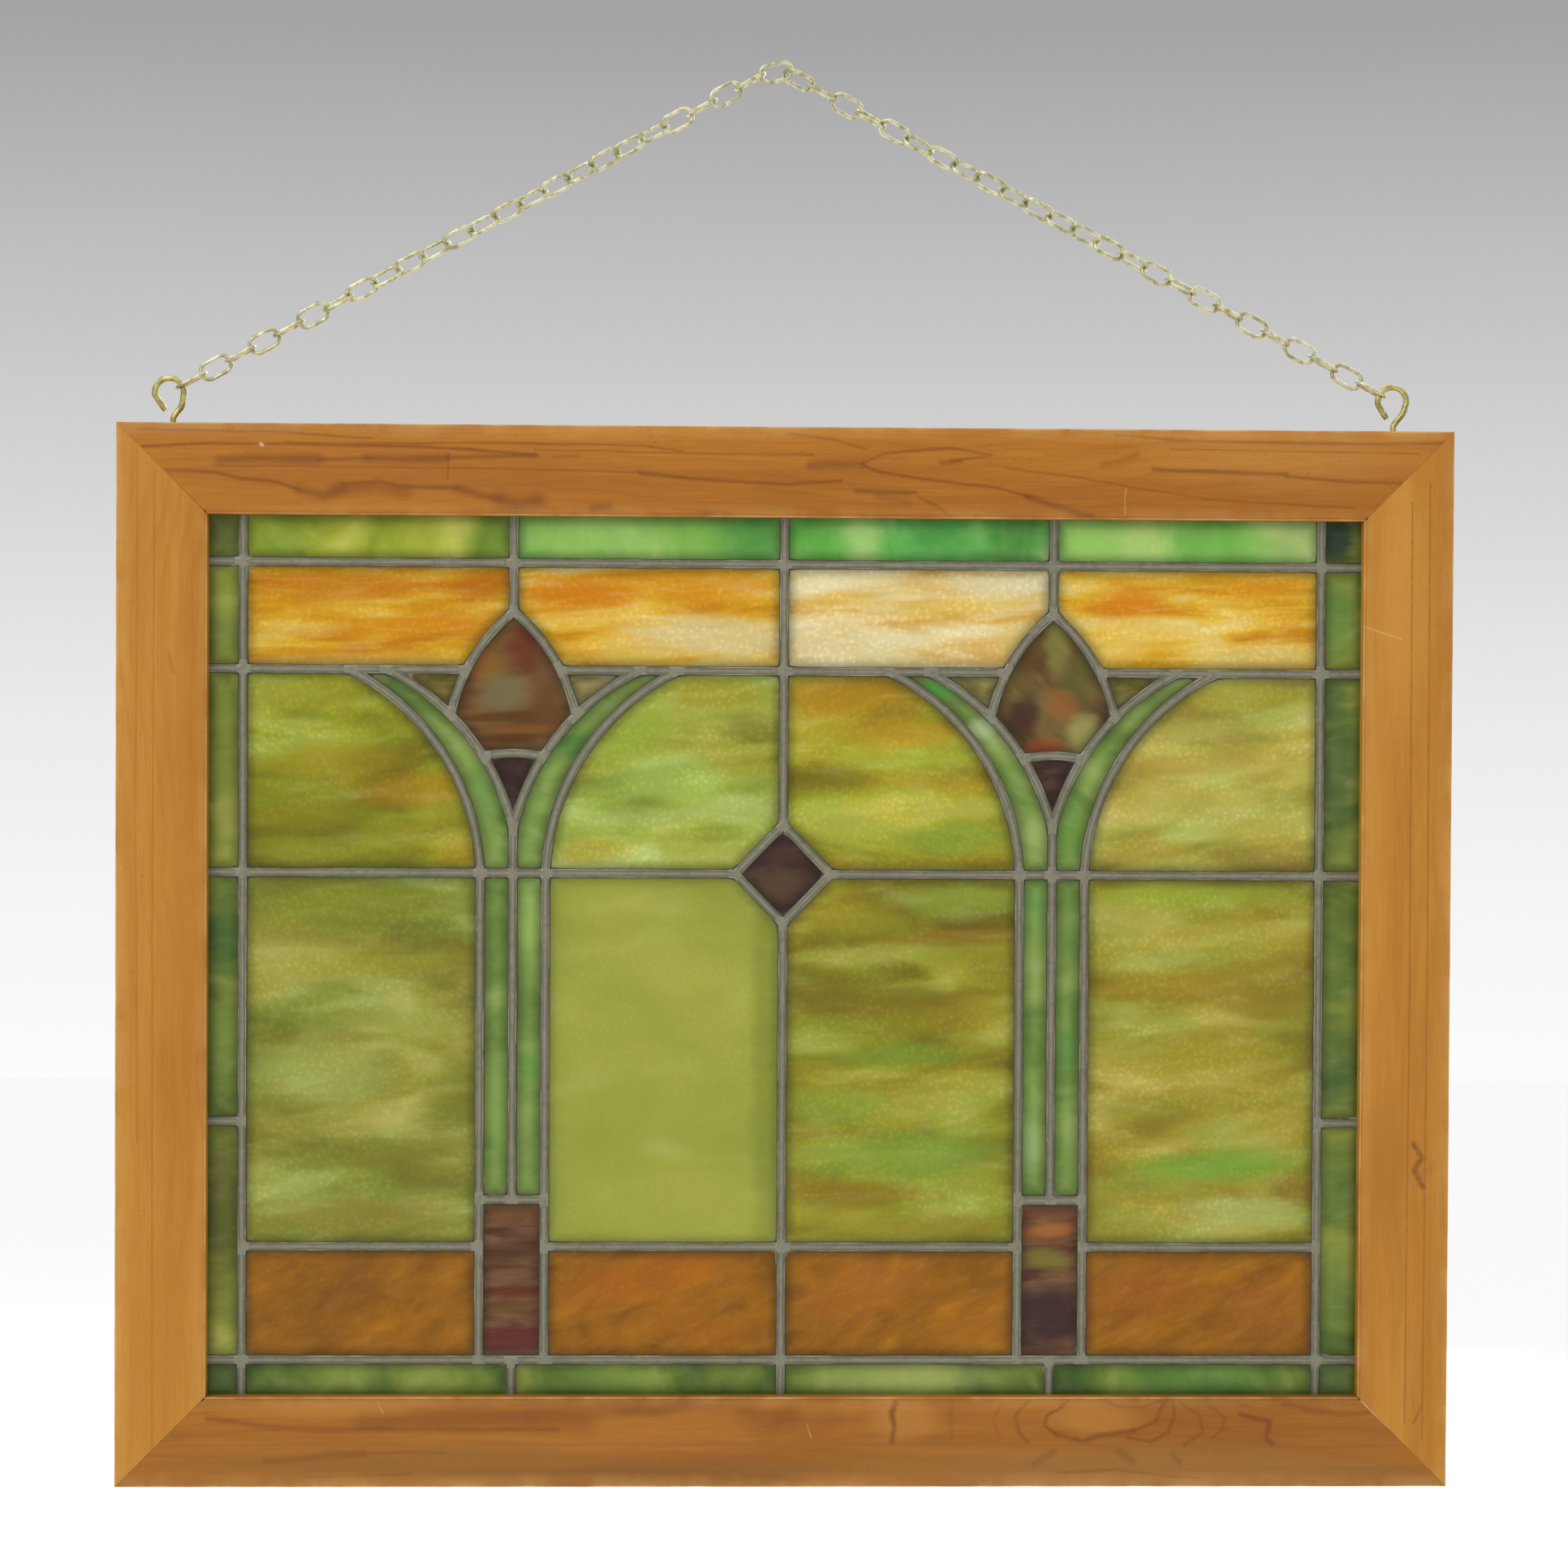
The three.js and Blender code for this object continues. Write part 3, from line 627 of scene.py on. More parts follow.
PANES = {
    "amber_top_1": look(
        "amber_top",
        (95, 68, 46, 7, 2, ORANGE, 0.7),
        (150, 68, 16, 8, 0, (170, 104, 10), 0.7),
        (72, 86, 26, 4, 3, CREAM_YELLOW, 0.6),
        (126, 84, 34, 5, 2, (192, 132, 14), 0.6),
        (100, 99, 50, 4, 0, (200, 168, 80), 0.7),
    ),
    "amber_top_2": look(
        "amber_top",
        (192, 70, 28, 9, 0, DEEP_ORANGE, 0.95),
        (245, 66, 40, 7, 0, (194, 142, 20), 0.7),
        (252, 88, 42, 10, -3, BRIGHT_CREAM, 0.9),
        (212, 96, 24, 6, 0, CREAM_YELLOW, 0.7),
        (264, 99, 20, 4, 0, (198, 180, 108), 0.6),
        palette=GOLD,
    ),
    "amber_top_3": look(
        "amber_top",
        (350, 75, 34, 4, 4, (198, 178, 92), 0.65),
        (304, 72, 22, 4, 0, (200, 170, 70), 0.6),
        (370, 66, 26, 5, 0, (200, 194, 164), 0.8),
        (312, 90, 40, 8, 0, (200, 192, 156), 0.7),
        (378, 88, 12, 8, 0, (200, 178, 100), 0.5),
        palette=CREAM,
    ),
    "amber_top_4": look(
        "amber_top",
        (424, 73, 19, 7, 3, (194, 134, 16), 0.9),
        (480, 66, 22, 5, 0, (194, 142, 22), 0.7),
        (412, 92, 20, 7, 0, (204, 184, 98), 0.7),
        (482, 95, 26, 8, 4, (196, 180, 112), 0.75),
        palette=GOLD,
    ),
    "field_upper_1": look(
        "field",
        (78, 112, 30, 9, 2, (150, 152, 44), 0.7),
        (120, 122, 26, 8, -14, (156, 158, 44), 0.6),
        (130, 152, 34, 8, 4, BROWN_GOLD, 0.7),
        (86, 142, 36, 8, 2, (156, 142, 32), 0.6),
        (76, 164, 30, 8, 3, (140, 132, 28), 0.7),
        (80, 180, 26, 6, 0, (150, 152, 48), 0.7),
        (146, 180, 16, 6, 0, (170, 146, 36), 0.6),
        (112, 172, 20, 5, 0, (150, 148, 40), 0.6),
    ),
    "field_upper_2": look(
        "field",
        (250, 112, 30, 9, 0, (156, 146, 34), 0.8),
        (214, 130, 22, 12, 30, (148, 164, 56), 0.7),
        (256, 140, 20, 8, -6, (158, 148, 44), 0.6),
        (222, 148, 28, 9, 14, (150, 168, 80), 0.7),
        (262, 160, 20, 7, 0, MINT, 0.95),
        (218, 164, 28, 5, 4, PALE_MINT, 0.5),
        (200, 178, 18, 6, 0, (166, 150, 44), 0.6),
        (252, 178, 26, 5, 0, (168, 172, 84), 0.6),
        palette=((134, 132, 46), (156, 158, 64), (174, 176, 86), (194, 194, 124)),
    ),
    "field_upper_3": look(
        "field",
        (302, 112, 34, 12, 0, (170, 132, 26), 0.8),
        (330, 128, 34, 7, -3, (178, 148, 36), 0.7),
        (340, 148, 34, 5, -5, (166, 142, 40), 0.6),
        (352, 160, 28, 5, 3, (170, 170, 84), 0.6),
        (306, 168, 26, 7, 0, (166, 168, 72), 0.7),
        (352, 172, 30, 8, 4, (132, 154, 56), 0.7),
        (300, 184, 22, 4, 0, (166, 136, 36), 0.7),
        palette=OLIVE_GOLD,
    ),
    "field_upper_4": look(
        "field",
        (472, 112, 30, 7, 0, (160, 150, 46), 0.7),
        (450, 126, 40, 5, 3, (178, 170, 88), 0.6),
        (450, 140, 46, 5, 3, (172, 152, 64), 0.6),
        (440, 158, 40, 8, 0, (174, 158, 74), 0.6),
        (480, 168, 26, 6, 0, (168, 156, 62), 0.6),
        (430, 178, 26, 5, 0, (168, 148, 58), 0.7),
        palette=((150, 132, 54), (166, 154, 68), (180, 172, 88), (196, 188, 122)),
    ),
    "field_lower_1": look(
        "field",
        (96, 200, 46, 10, 0, (136, 140, 40), 0.7),
        (104, 226, 50, 6, 3, (154, 150, 54), 0.7),
        (122, 252, 24, 8, 4, (154, 158, 72), 0.7),
        (86, 272, 30, 16, -8, (160, 168, 92), 0.7),
        (140, 290, 18, 10, 0, (122, 128, 42), 0.7),
        (104, 306, 44, 8, 3, (126, 126, 40), 0.75),
        (100, 332, 46, 9, 2, (140, 130, 50), 0.7),
        palette=((118, 110, 34), (136, 134, 48), (152, 148, 62), (174, 170, 96)),
    ),
    "field_lower_2": look(
        "field",
        # The first two patches are painted shadow: dark bands down the left and right sides of the pane.
        (184, 262, 6, 110, 0, (144, 152, 62), 0.4),
        (272, 262, 7, 110, 0, (126, 134, 46), 0.6),
        (226, 192, 60, 4, 0, (146, 154, 58), 0.4),
        palette=((148, 152, 64), (152, 156, 67), (156, 159, 70), (160, 163, 75)),
        stretch=(90, 60),
        grain=0.35,
        rim_shade=0.24,
        turn=0.0,
        slot="plain_replacement_glass",
    ),
    "field_lower_3": look(
        "field",
        (354, 198, 34, 9, 2, (144, 160, 60), 0.7),
        (312, 206, 24, 8, 0, (156, 144, 40), 0.6),
        (350, 214, 34, 4, 2, (140, 110, 22), 0.7),
        (312, 222, 36, 5, 2, (168, 166, 78), 0.7),
        (300, 240, 30, 9, -3, (124, 108, 20), 0.85),
        (352, 248, 30, 8, 0, (152, 140, 38), 0.6),
        (330, 264, 30, 6, 3, (122, 146, 46), 0.7),
        (360, 276, 24, 6, 0, (164, 158, 62), 0.6),
        (302, 286, 26, 9, 0, (132, 152, 54), 0.7),
        (330, 306, 46, 12, 3, (130, 156, 60), 0.7),
        (310, 322, 36, 6, 0, (140, 118, 24), 0.8),
        (350, 336, 34, 6, 0, (146, 128, 32), 0.7),
        palette=((122, 102, 20), (142, 132, 32), (156, 150, 46), (172, 166, 78)),
    ),
    "field_lower_4": look(
        "field",
        (450, 196, 46, 7, 0, (150, 166, 54), 0.7),
        (470, 214, 34, 7, 2, (166, 158, 62), 0.6),
        (440, 234, 38, 7, 2, (160, 138, 38), 0.7),
        (486, 240, 22, 10, 0, (138, 118, 26), 0.7),
        (456, 262, 46, 8, 0, (156, 148, 40), 0.6),
        (434, 286, 30, 7, 0, (144, 142, 46), 0.6),
        (464, 310, 40, 8, 2, (122, 158, 56), 0.8),
        (430, 318, 26, 6, 0, (148, 158, 62), 0.6),
        (476, 330, 32, 8, 0, PALE_MINT, 0.7),
        (426, 338, 24, 6, 0, (150, 146, 54), 0.7),
        palette=((134, 116, 32), (150, 136, 42), (164, 152, 58), (180, 170, 92)),
    ),
    "base_amber_1": look("base_amber", (90, 366, 40, 18, 20, (126, 82, 22), 0.5)),
    "base_amber_2": look(
        "base_amber",
        (220, 358, 40, 10, 10, (168, 102, 18), 0.6),
        (250, 380, 26, 8, 0, (164, 104, 14), 0.5),
    ),
    "base_amber_3": look(
        "base_amber",
        (312, 362, 30, 12, 20, (160, 104, 28), 0.6),
        (360, 380, 26, 8, 10, (160, 108, 22), 0.5),
    ),
    "base_amber_4": look(
        "base_amber",
        (430, 364, 30, 14, 15, (150, 92, 24), 0.6),
        (482, 372, 22, 16, 0, (146, 92, 36), 0.5),
    ),
    "pedestal_left": look(
        "maroon",
        (165, 330, 16, 6, 0, (122, 84, 48), 0.8),
        (165, 347, 16, 4, 3, (84, 56, 34), 0.9),
        (165, 357, 16, 3, 2, (124, 92, 66), 0.7),
        (165, 364, 16, 2.5, -3, (100, 46, 20), 0.85),
        (165, 371, 14, 3, 2, (104, 76, 26), 0.7),
        (165, 384, 18, 7, 0, (104, 46, 38), 0.9),
        palette=((84, 52, 36), (104, 68, 44), (118, 84, 58), (132, 98, 74)),
        stretch=(26, 5),
    ),
    "pedestal_right": look(
        "maroon",
        (391, 329, 16, 5, 0, (124, 80, 52), 0.8),
        (391, 338, 14, 4, 4, (168, 110, 52), 0.8),
        (391, 350, 14, 5, -4, (124, 118, 50), 0.85),
        (391, 374, 18, 17, 0, (68, 44, 42), 0.95),
        stretch=(24, 6),
    ),
    "bud_left": look(
        "maroon",
        (152, 100, 9, 14, 30, (142, 98, 34), 0.8),
        (170, 90, 9, 13, -12, (112, 56, 34), 0.9),
        (180, 104, 8, 14, -24, (116, 82, 52), 0.85),
        (160, 112, 13, 10, 14, (122, 110, 74), 0.95),
        (178, 118, 6, 12, -26, (104, 72, 34), 0.8),
        (158, 122, 20, 2.6, 4, (96, 62, 18), 0.9),
        (170, 127, 20, 2.4, 3, (132, 88, 34), 0.8),
        (162, 131, 18, 2.2, 2, (94, 58, 20), 0.85),
        (166, 137, 14, 3, 0, (112, 74, 40), 0.8),
        palette=((92, 58, 30), (108, 74, 38), (122, 90, 48), (132, 106, 62)),
    ),
    "bud_right": look(
        "maroon",
        (381, 96, 7, 14, -20, (96, 74, 34), 0.8),
        (394, 92, 6, 16, 8, (132, 128, 66), 0.85),
        (403, 104, 9, 14, -30, (100, 96, 44), 0.85),
        (380, 120, 8, 12, -20, (74, 46, 36), 0.85),
        (396, 116, 9, 7, -40, (146, 98, 50), 0.85),
        (389, 134, 10, 6, 0, (152, 76, 36), 0.85),
        (405, 128, 8, 9, -20, (152, 148, 88), 0.95),
        palette=((82, 58, 36), (100, 76, 42), (116, 96, 50), (132, 116, 66)),
        tilt=-40,
    ),
    "bud_base_left": look("dark_maroon"),
    "bud_base_right": look("dark_maroon"),
    "diamond": look(
        "dark_maroon",
        (278, 192, 12, 8, 10, (98, 76, 52), 0.7),
        (276, 180, 12, 6, 0, (84, 54, 48), 0.7),
    ),
    "border_top_1": look(
        "border",
        (66, 48, 14, 14, 0, (134, 156, 60), 0.6),
        (120, 48, 20, 14, 0, (156, 166, 56), 0.6),
        (158, 46, 16, 16, 0, (106, 142, 58), 0.6),
        palette=YELLOW_GREEN,
    ),
    "border_top_2": look(
        "border",
        (188, 48, 20, 14, 0, (160, 190, 106), 0.6),
        (238, 48, 22, 14, 0, (142, 180, 92), 0.6),
        (266, 48, 16, 16, 0, (84, 150, 72), 0.8),
        palette=PALE_GREEN,
    ),
    "border_top_3": look(
        "border",
        (294, 48, 16, 16, 0, (110, 170, 76), 0.7),
        (312, 48, 9, 16, 8, (178, 200, 136), 0.7),
        (344, 48, 20, 16, 0, (82, 156, 78), 0.8),
        (376, 48, 16, 16, 0, (76, 132, 60), 0.7),
        palette=BRIGHT_GREEN,
    ),
    "border_top_4": look(
        "border",
        (408, 48, 14, 16, 0, (160, 194, 110), 0.7),
        (428, 48, 12, 14, 6, (168, 190, 118), 0.6),
        (462, 48, 20, 14, 0, (132, 184, 92), 0.6),
        (494, 46, 12, 14, 0, (156, 174, 112), 0.6),
        palette=PALE_GREEN,
    ),
    "border_bottom_1": look("border", (90, 400, 22, 12, 0, (134, 150, 68), 0.6)),
    "border_bottom_2": look("border", (206, 400, 26, 12, 0, (122, 150, 66), 0.6)),
    "border_bottom_3": look("border", (330, 400, 44, 12, 0, (166, 176, 104), 0.75)),
    "border_bottom_4": look("border", (452, 400, 40, 12, 0, (96, 140, 66), 0.6)),
    "border_left_1": look("side", (45, 84, 10, 16, 0, (140, 150, 74), 0.6)),
    "border_left_2": look("side", (45, 146, 10, 36, 0, (138, 146, 62), 0.6)),
    "border_left_3": look(
        "side",
        (45, 214, 10, 26, 0, (60, 104, 50), 0.7),
        (45, 262, 10, 22, 0, (124, 144, 66), 0.6),
    ),
    "border_left_4": look("side", (45, 330, 10, 44, 0, (96, 100, 38), 0.85)),
    "border_right_1": look("side", (512, 80, 10, 18, 0, (84, 136, 74), 0.5)),
    "border_right_2": look("side", (512, 140, 10, 40, 0, (56, 94, 52), 0.75)),
    "border_right_3": look(
        "side",
        (512, 226, 10, 24, 0, (84, 116, 54), 0.6),
        (512, 268, 10, 24, 0, (62, 100, 56), 0.6),
    ),
    "border_right_4": look(
        "side",
        (512, 320, 10, 16, 0, (86, 120, 60), 0.6),
        (512, 366, 10, 24, 0, (92, 124, 62), 0.5),
    ),
    "corner_top_left": look("side", (45, 46, 10, 12, 0, (90, 104, 54), 0.8)),
    "corner_top_right": look("side", (512, 46, 10, 12, 0, (46, 66, 50), 0.95)),
    "corner_bottom_left": look("side", (45, 400, 10, 12, 0, (74, 104, 50), 0.8)),
    "corner_bottom_right": look("side", (512, 400, 10, 12, 0, (84, 112, 58), 0.8)),
    "leaf_1": look(
        "leaf",
        (106, 107, 9, 4, 20, LEAF_TIP, 0.9),
        (118, 110, 5, 4, 30, (104, 144, 70), 0.8),
        (155, 150, 8, 16, 0, (118, 152, 84), 0.5),
    ),
    "leaf_2": look(
        "leaf",
        (230, 107, 8, 4, -20, LEAF_TIP, 0.9),
        (190, 134, 10, 7, 20, (84, 130, 62), 0.8),
        (214, 110, 9, 5, 20, (138, 156, 82), 0.7),
    ),
    "leaf_3": look(
        "leaf",
        (346, 108, 12, 6, 20, (92, 172, 76), 0.85),
        (362, 126, 10, 5, 20, (176, 192, 148), 0.85),
    ),
    "leaf_4": look(
        "leaf",
        (420, 112, 14, 7, 20, (156, 168, 98), 0.8),
        (399, 168, 7, 20, 0, (104, 146, 64), 0.7),
    ),
    "stem_1": look(
        "stem",
        (158, 214, 8, 12, 0, (98, 128, 58), 0.6),
        (158, 280, 8, 22, 0, (136, 162, 88), 0.6),
    ),
    "stem_2": look(
        "stem",
        (172, 206, 8, 14, 0, (160, 184, 104), 0.7),
        (172, 268, 8, 9, 8, (100, 150, 64), 0.7),
    ),
    "stem_3": look(
        "stem",
        (384, 200, 8, 10, 0, (120, 168, 92), 0.5),
        (384, 300, 8, 14, 0, (156, 176, 118), 0.7),
    ),
    "stem_4": look(
        "stem",
        (398, 212, 8, 16, 0, (108, 134, 62), 0.6),
        (398, 262, 8, 10, 5, (100, 146, 76), 0.7),
    ),
}
SIDE_PALETTES = (
    ((100, 90, 36), (116, 106, 44), (128, 118, 54), (142, 132, 72)),
    ((128, 118, 66), (144, 134, 82), (156, 148, 98), (170, 162, 118)),
    ((120, 110, 56), (136, 126, 72), (148, 140, 88), (162, 154, 106)),
    ((94, 90, 34), (112, 106, 42), (126, 120, 54), (140, 134, 72)),
)


def grown(loop, distance):
    return [moved_out(loop, i, distance) for i in range(len(loop))]


def centre_of(loop):
    return sum(loop, Vector((0, 0))) / len(loop)


def opening_at(point, among):
    x, z = np.array([point.x]), np.array([point.y])
    return next((loop for loop in among if inside(loop, x, z)[0]), None)


def inner_point(outline):
    """A point well inside an outline: the one of a coarse grid that is furthest from its edges."""
    xs, zs = [p.x for p in outline], [p.y for p in outline]
    x, z = np.meshgrid(np.linspace(min(xs), max(xs), 24), np.linspace(min(zs), max(zs), 24))
    x, z = x.ravel(), z.ravel()
    depth = distance_to(outline, x, z) * inside(outline, x, z)
    best = int(depth.argmax())
    return Vector((x[best], z[best]))


def glazed(name, wanted, seed):
    """A pane's material, how grainy it is, and its material slot."""
    facts = {**KINDS[wanted["kind"]], **wanted}
    del facts["kind"]
    slot = facts.pop("slot")
    return slag_glass(f"glass_{name}", seed=seed, **facts), facts["grain"], slot


def make_panes():
    """Every pane of the model, and the four small ones beside the buds, which have no node."""
    free = list(openings)
    for seed, (name, wanted) in enumerate(PANES.items(), start=1):
        outline = flat_loops(name, GLASS_FRONT)[0]
        opening = opening_at(inner_point(outline), openings)
        free = [loop for loop in free if loop is not opening]
        material, grain, slot = glazed(name, wanted, seed)
        make_pane(f"pane_{name}", outline, opening, material, grain, seed, (name,), slot)
    free.sort(key=lambda loop: centre_of(loop).x)
    for number, (opening, palette) in enumerate(zip(free, SIDE_PALETTES), start=1):
        name = f"bud_side_{number}"
        wanted = look("bud_side", palette=palette)
        material, grain, slot = glazed(name, wanted, SIDE_SEED + number)
        outline = grown(opening, CAME_HALF - HEART_HALF - PANE_GAP)
        make_pane(f"pane_{name}", outline, opening, material, grain, number, (), slot)


# ---- lead --------------------------------------------------------------------------------------

def lead_material(name, shade, light, roughness, metallic):
    """Lead or solder: dull and mottled, worn light on its ridge and rubbed bright at its lips."""
    tree = Tree(name)
    place = tree.place()
    mottle = tree.noise(place, 320, detail=6, roughness=0.65)
    blotch = tree.noise(place, 70, detail=3)
    ridge = tree.attribute("ridge")
    worn = tree.span(tree.math("ADD", ridge, tree.math("MULTIPLY", blotch, 0.5)), 0.62, 1.25)
    colour = tree.mix(worn, srgb(*shade), srgb(*light))
    colour = tree.mix(tree.span(mottle, 0.3, 0.55, 0.4, 0.0), colour, srgb(72, 72, 64))
    colour = tree.mix(tree.span(mottle, 0.6, 0.75, 0.0, 0.5), colour, srgb(158, 158, 148))
    chalk = tree.noise(place, 38, detail=5, roughness=0.7)
    at_edge = tree.math("MULTIPLY", tree.span(ridge, 0.1, 0.16), tree.span(ridge, 0.24, 0.42, 1.0, 0.0))
    chalky = tree.math("MULTIPLY", tree.span(chalk, 0.44, 0.66), at_edge)
    colour = tree.mix(tree.math("MULTIPLY", chalky, 0.6), colour, srgb(176, 173, 153))
    colour = tree.mix(tree.span(ridge, 0.08, 0.14, 0.55, 0.0), colour, srgb(64, 62, 48))
    shine = tree.span(mottle, 0.3, 0.7, roughness - 0.08, roughness + 0.12)
    normal = tree.bump(tree.noise(place, 520, detail=5, roughness=0.6), 0.3, 0.25 * MM)
    skin = tree.add("BsdfPrincipled", Base_Color=colour, Roughness=shine, Metallic=metallic, Normal=normal)
    return tree.finish(skin.outputs[0])


# The section of half a came, from its lip over the glass to its middle: (distance out, height).
HALF_SECTION = ((0.02, 1.62), (0.06, 2.02), (0.24, 2.36), (0.62, 2.58), (1.18, 2.7), (2.02, 2.76))
RIDGE = HALF_SECTION[-1][0]
LIP = HALF_SECTION[0][1] * MM


def section_points():
    """The closed section of half a came, front to back, with how near each point is to the ridge."""
    front = [(d * MM, -h * MM, d / RIDGE) for d, h in HALF_SECTION]
    back = [(d * MM, h * MM, d / RIDGE) for d, h in reversed(HALF_SECTION)]
    heart = CAME_HALF - HEART_HALF
    inner = [(heart, LIP, 0.0), (heart, -LIP, 0.0)]
    return front + back + inner


def panel_limits():
    low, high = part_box("lead_came")
    return low.x, high.x, low.z, high.z


def make_lead():
    """Half a came round every opening. Two halves meet along the middle of each came."""
    section = section_points()
    left, right, bottom, top = panel_limits()
    body = Builder()
    marks = [ridge for _, _, ridge in section]
    for loop in openings:
        points, _ = resampled(loop, CAME_STEP)
        rings = []
        for i, point in enumerate(points):
            spot = Vector((point.x, 0, point.y))
            ring = []
            for distance, y, ridge in section:
                wave = noise.noise(spot * 60) * 0.16 * MM * (1 - ridge)
                moved = moved_out(points, i, distance - wave)
                dent = 1 + 0.035 * noise.noise(spot * 140) * ridge
                x = min(max(moved.x, left), right)
                z = min(max(moved.y, bottom), top)
                ring.append((x, y * dent, z))
            rings.append(ring)
        body.tube(rings, marks)
    piece = body.piece("lead_cames", lead, node_names=("lead_came",), slot="lead", smooth=60)
    mark_points(piece, "ridge", body.marks)


def joints():
    """Where cames meet in sight: the place, and the way that each came leaves it."""
    found = []
    for loop in openings:
        points, corners = resampled(loop, CAME_STEP)
        for i in corners:
            place = moved_out(points, i, CAME_HALF)
            ahead = (points[(i + 1) % len(points)] - points[i]).normalized()
            behind = (points[i - 1] - points[i]).normalized()
            near = next((j for j in found if (j[0] - place).length < 3 * MM), None)
            if near is None:
                near = (place, [])
                found.append(near)
            for way in (ahead, behind):
                if all(way.dot(other) < math.cos(math.radians(12)) for other in near[1]):
                    near[1].append(way)
    left, right, bottom, top = SIGHT
    return [j for j in found if left < j[0].x < right and bottom < j[0].y < top]


SOLDER_SIDES = 44
SOLDER_STEPS = 6
SOLDER_NARROW = CAME_HALF * 0.9  # half a lump's width across a came
SOLDER_FOOT = 2.0 * MM  # how far out from the middle plane a lump ends, inside the came


def joint_reach(angle, ways, lengths):
    """How far solder spreads at an angle: along each came for its length, and no wider than it."""
    reach = SOLDER_NARROW
    for way, length in zip(ways, lengths):
        off = angle - math.atan2(way.y, way.x)
        if math.cos(off) > 0:
            blunt = (math.cos(off) / length) ** 3 + (abs(math.sin(off)) / SOLDER_NARROW) ** 3
            reach = max(reach, blunt ** (-1 / 3))
    return reach


def make_solder():
    """A low smooth lump of solder over each joint, on both faces."""
    rng = np.random.default_rng(5)
    body = Builder()
    for place, ways in joints():
        for face in (-1, 1):
            lengths = [rng.uniform(3.6, 5.8) * MM for _ in ways]
            lift = rng.uniform(0.0, 0.16) * MM
            turns = [-face * math.tau * j / SOLDER_SIDES for j in range(SOLDER_SIDES)]
            reaches = [joint_reach(t, ways, lengths) for t in turns]
            rings = []
            for step in range(SOLDER_STEPS + 1):
                share = step / SOLDER_STEPS
                height = -CAME_FRONT * (0.98 - 0.1 * share**3) + lift * (1 - share**2)
                height += 0.05 * MM * noise.noise(Vector((place.x, step, place.y)) * 90)
                ring = []
                for turn, reach in zip(turns, reaches):
                    x = place.x + math.cos(turn) * reach * share
                    z = place.y + math.sin(turn) * reach * share
                    ring.append((x, face * height, z))
                rings.append(ring)
            rings[0] = [tuple(Vector(p).lerp(Vector(rings[0][0]), 0.98)) for p in rings[1]]
            base = [(x, face * SOLDER_FOOT, z) for x, _, z in rings[-1]]
            body.tube(rings + [base], closed=False)
    piece = body.piece("solder_joints", solder, slot="lead", smooth=60)
    mark_points(piece, "ridge", [1.0] * len(body.marks))


PUTTY_WIDTH = 0.1
PUTTY_UNEVEN = 0.3
PUTTY_IN_CORNER = 0.55  # more of it in the corners, over this reach
CORNER_REACH = 2.5 * MM
PUTTY_LEAST = 0.05
PUTTY_UNDER = 0.45 * MM  # how far it goes under the lip
PUTTY_TOP = 2.05 * MM


def make_putty():
    """Old putty pressed under the lips of the cames, in a thin uneven fillet on both faces."""
    body = Builder()
    for number, loop in enumerate(openings):
        points, corners = resampled(loop, CAME_STEP)
        for face in (-1, 1):
            rings = []
            for i, point in enumerate(points):
                spot = Vector((point.x, number + face, point.y))
                to_corner = min((point - points[c]).length for c in corners)
                width = PUTTY_WIDTH + PUTTY_UNEVEN * noise.noise(spot * 150)
                width += PUTTY_IN_CORNER * math.exp(-to_corner / CORNER_REACH)
                width = max(width, PUTTY_LEAST) * MM
                out = moved_out(points, i, 0.15 * MM - width)
                lip = moved_out(points, i, PUTTY_UNDER)
                glass = -GLASS_FRONT - 0.15 * MM
                ring = [
                    (lip.x, face * glass, lip.y),
                    (lip.x, face * PUTTY_TOP, lip.y),
                    (out.x, face * (-GLASS_FRONT + 0.06 * MM), out.y),
                ]
                rings.append(ring if face < 0 else ring[::-1])
            body.tube(rings)
    body.piece("putty", putty, slot="lead", smooth=60)


def putty_material():
    """Putty: mostly black with dirt, and whitish where it has been wiped."""
    tree = Tree("putty")
    place = tree.place()
    clean = tree.span(tree.noise(place, 55, detail=5, roughness=0.65), 0.53, 0.68)
    colour = tree.mix(clean, srgb(66, 64, 50), srgb(158, 154, 132))
    dirt = tree.span(tree.noise(place, 600, detail=3), 0.4, 0.7, 0.0, 0.3)
    colour = tree.mix(dirt, colour, srgb(48, 46, 36))
    skin = tree.add("BsdfPrincipled", Base_Color=colour, Roughness=0.85)
    return tree.finish(skin.outputs[0])


# ---- wood --------------------------------------------------------------------------------------

TAPER = 0.05  # how little the rings change along a board
RING = ((0.0, 0), (0.5, 0.1), (0.86, 1), (1.0, 0))  # how dark the wood is across one year's ring


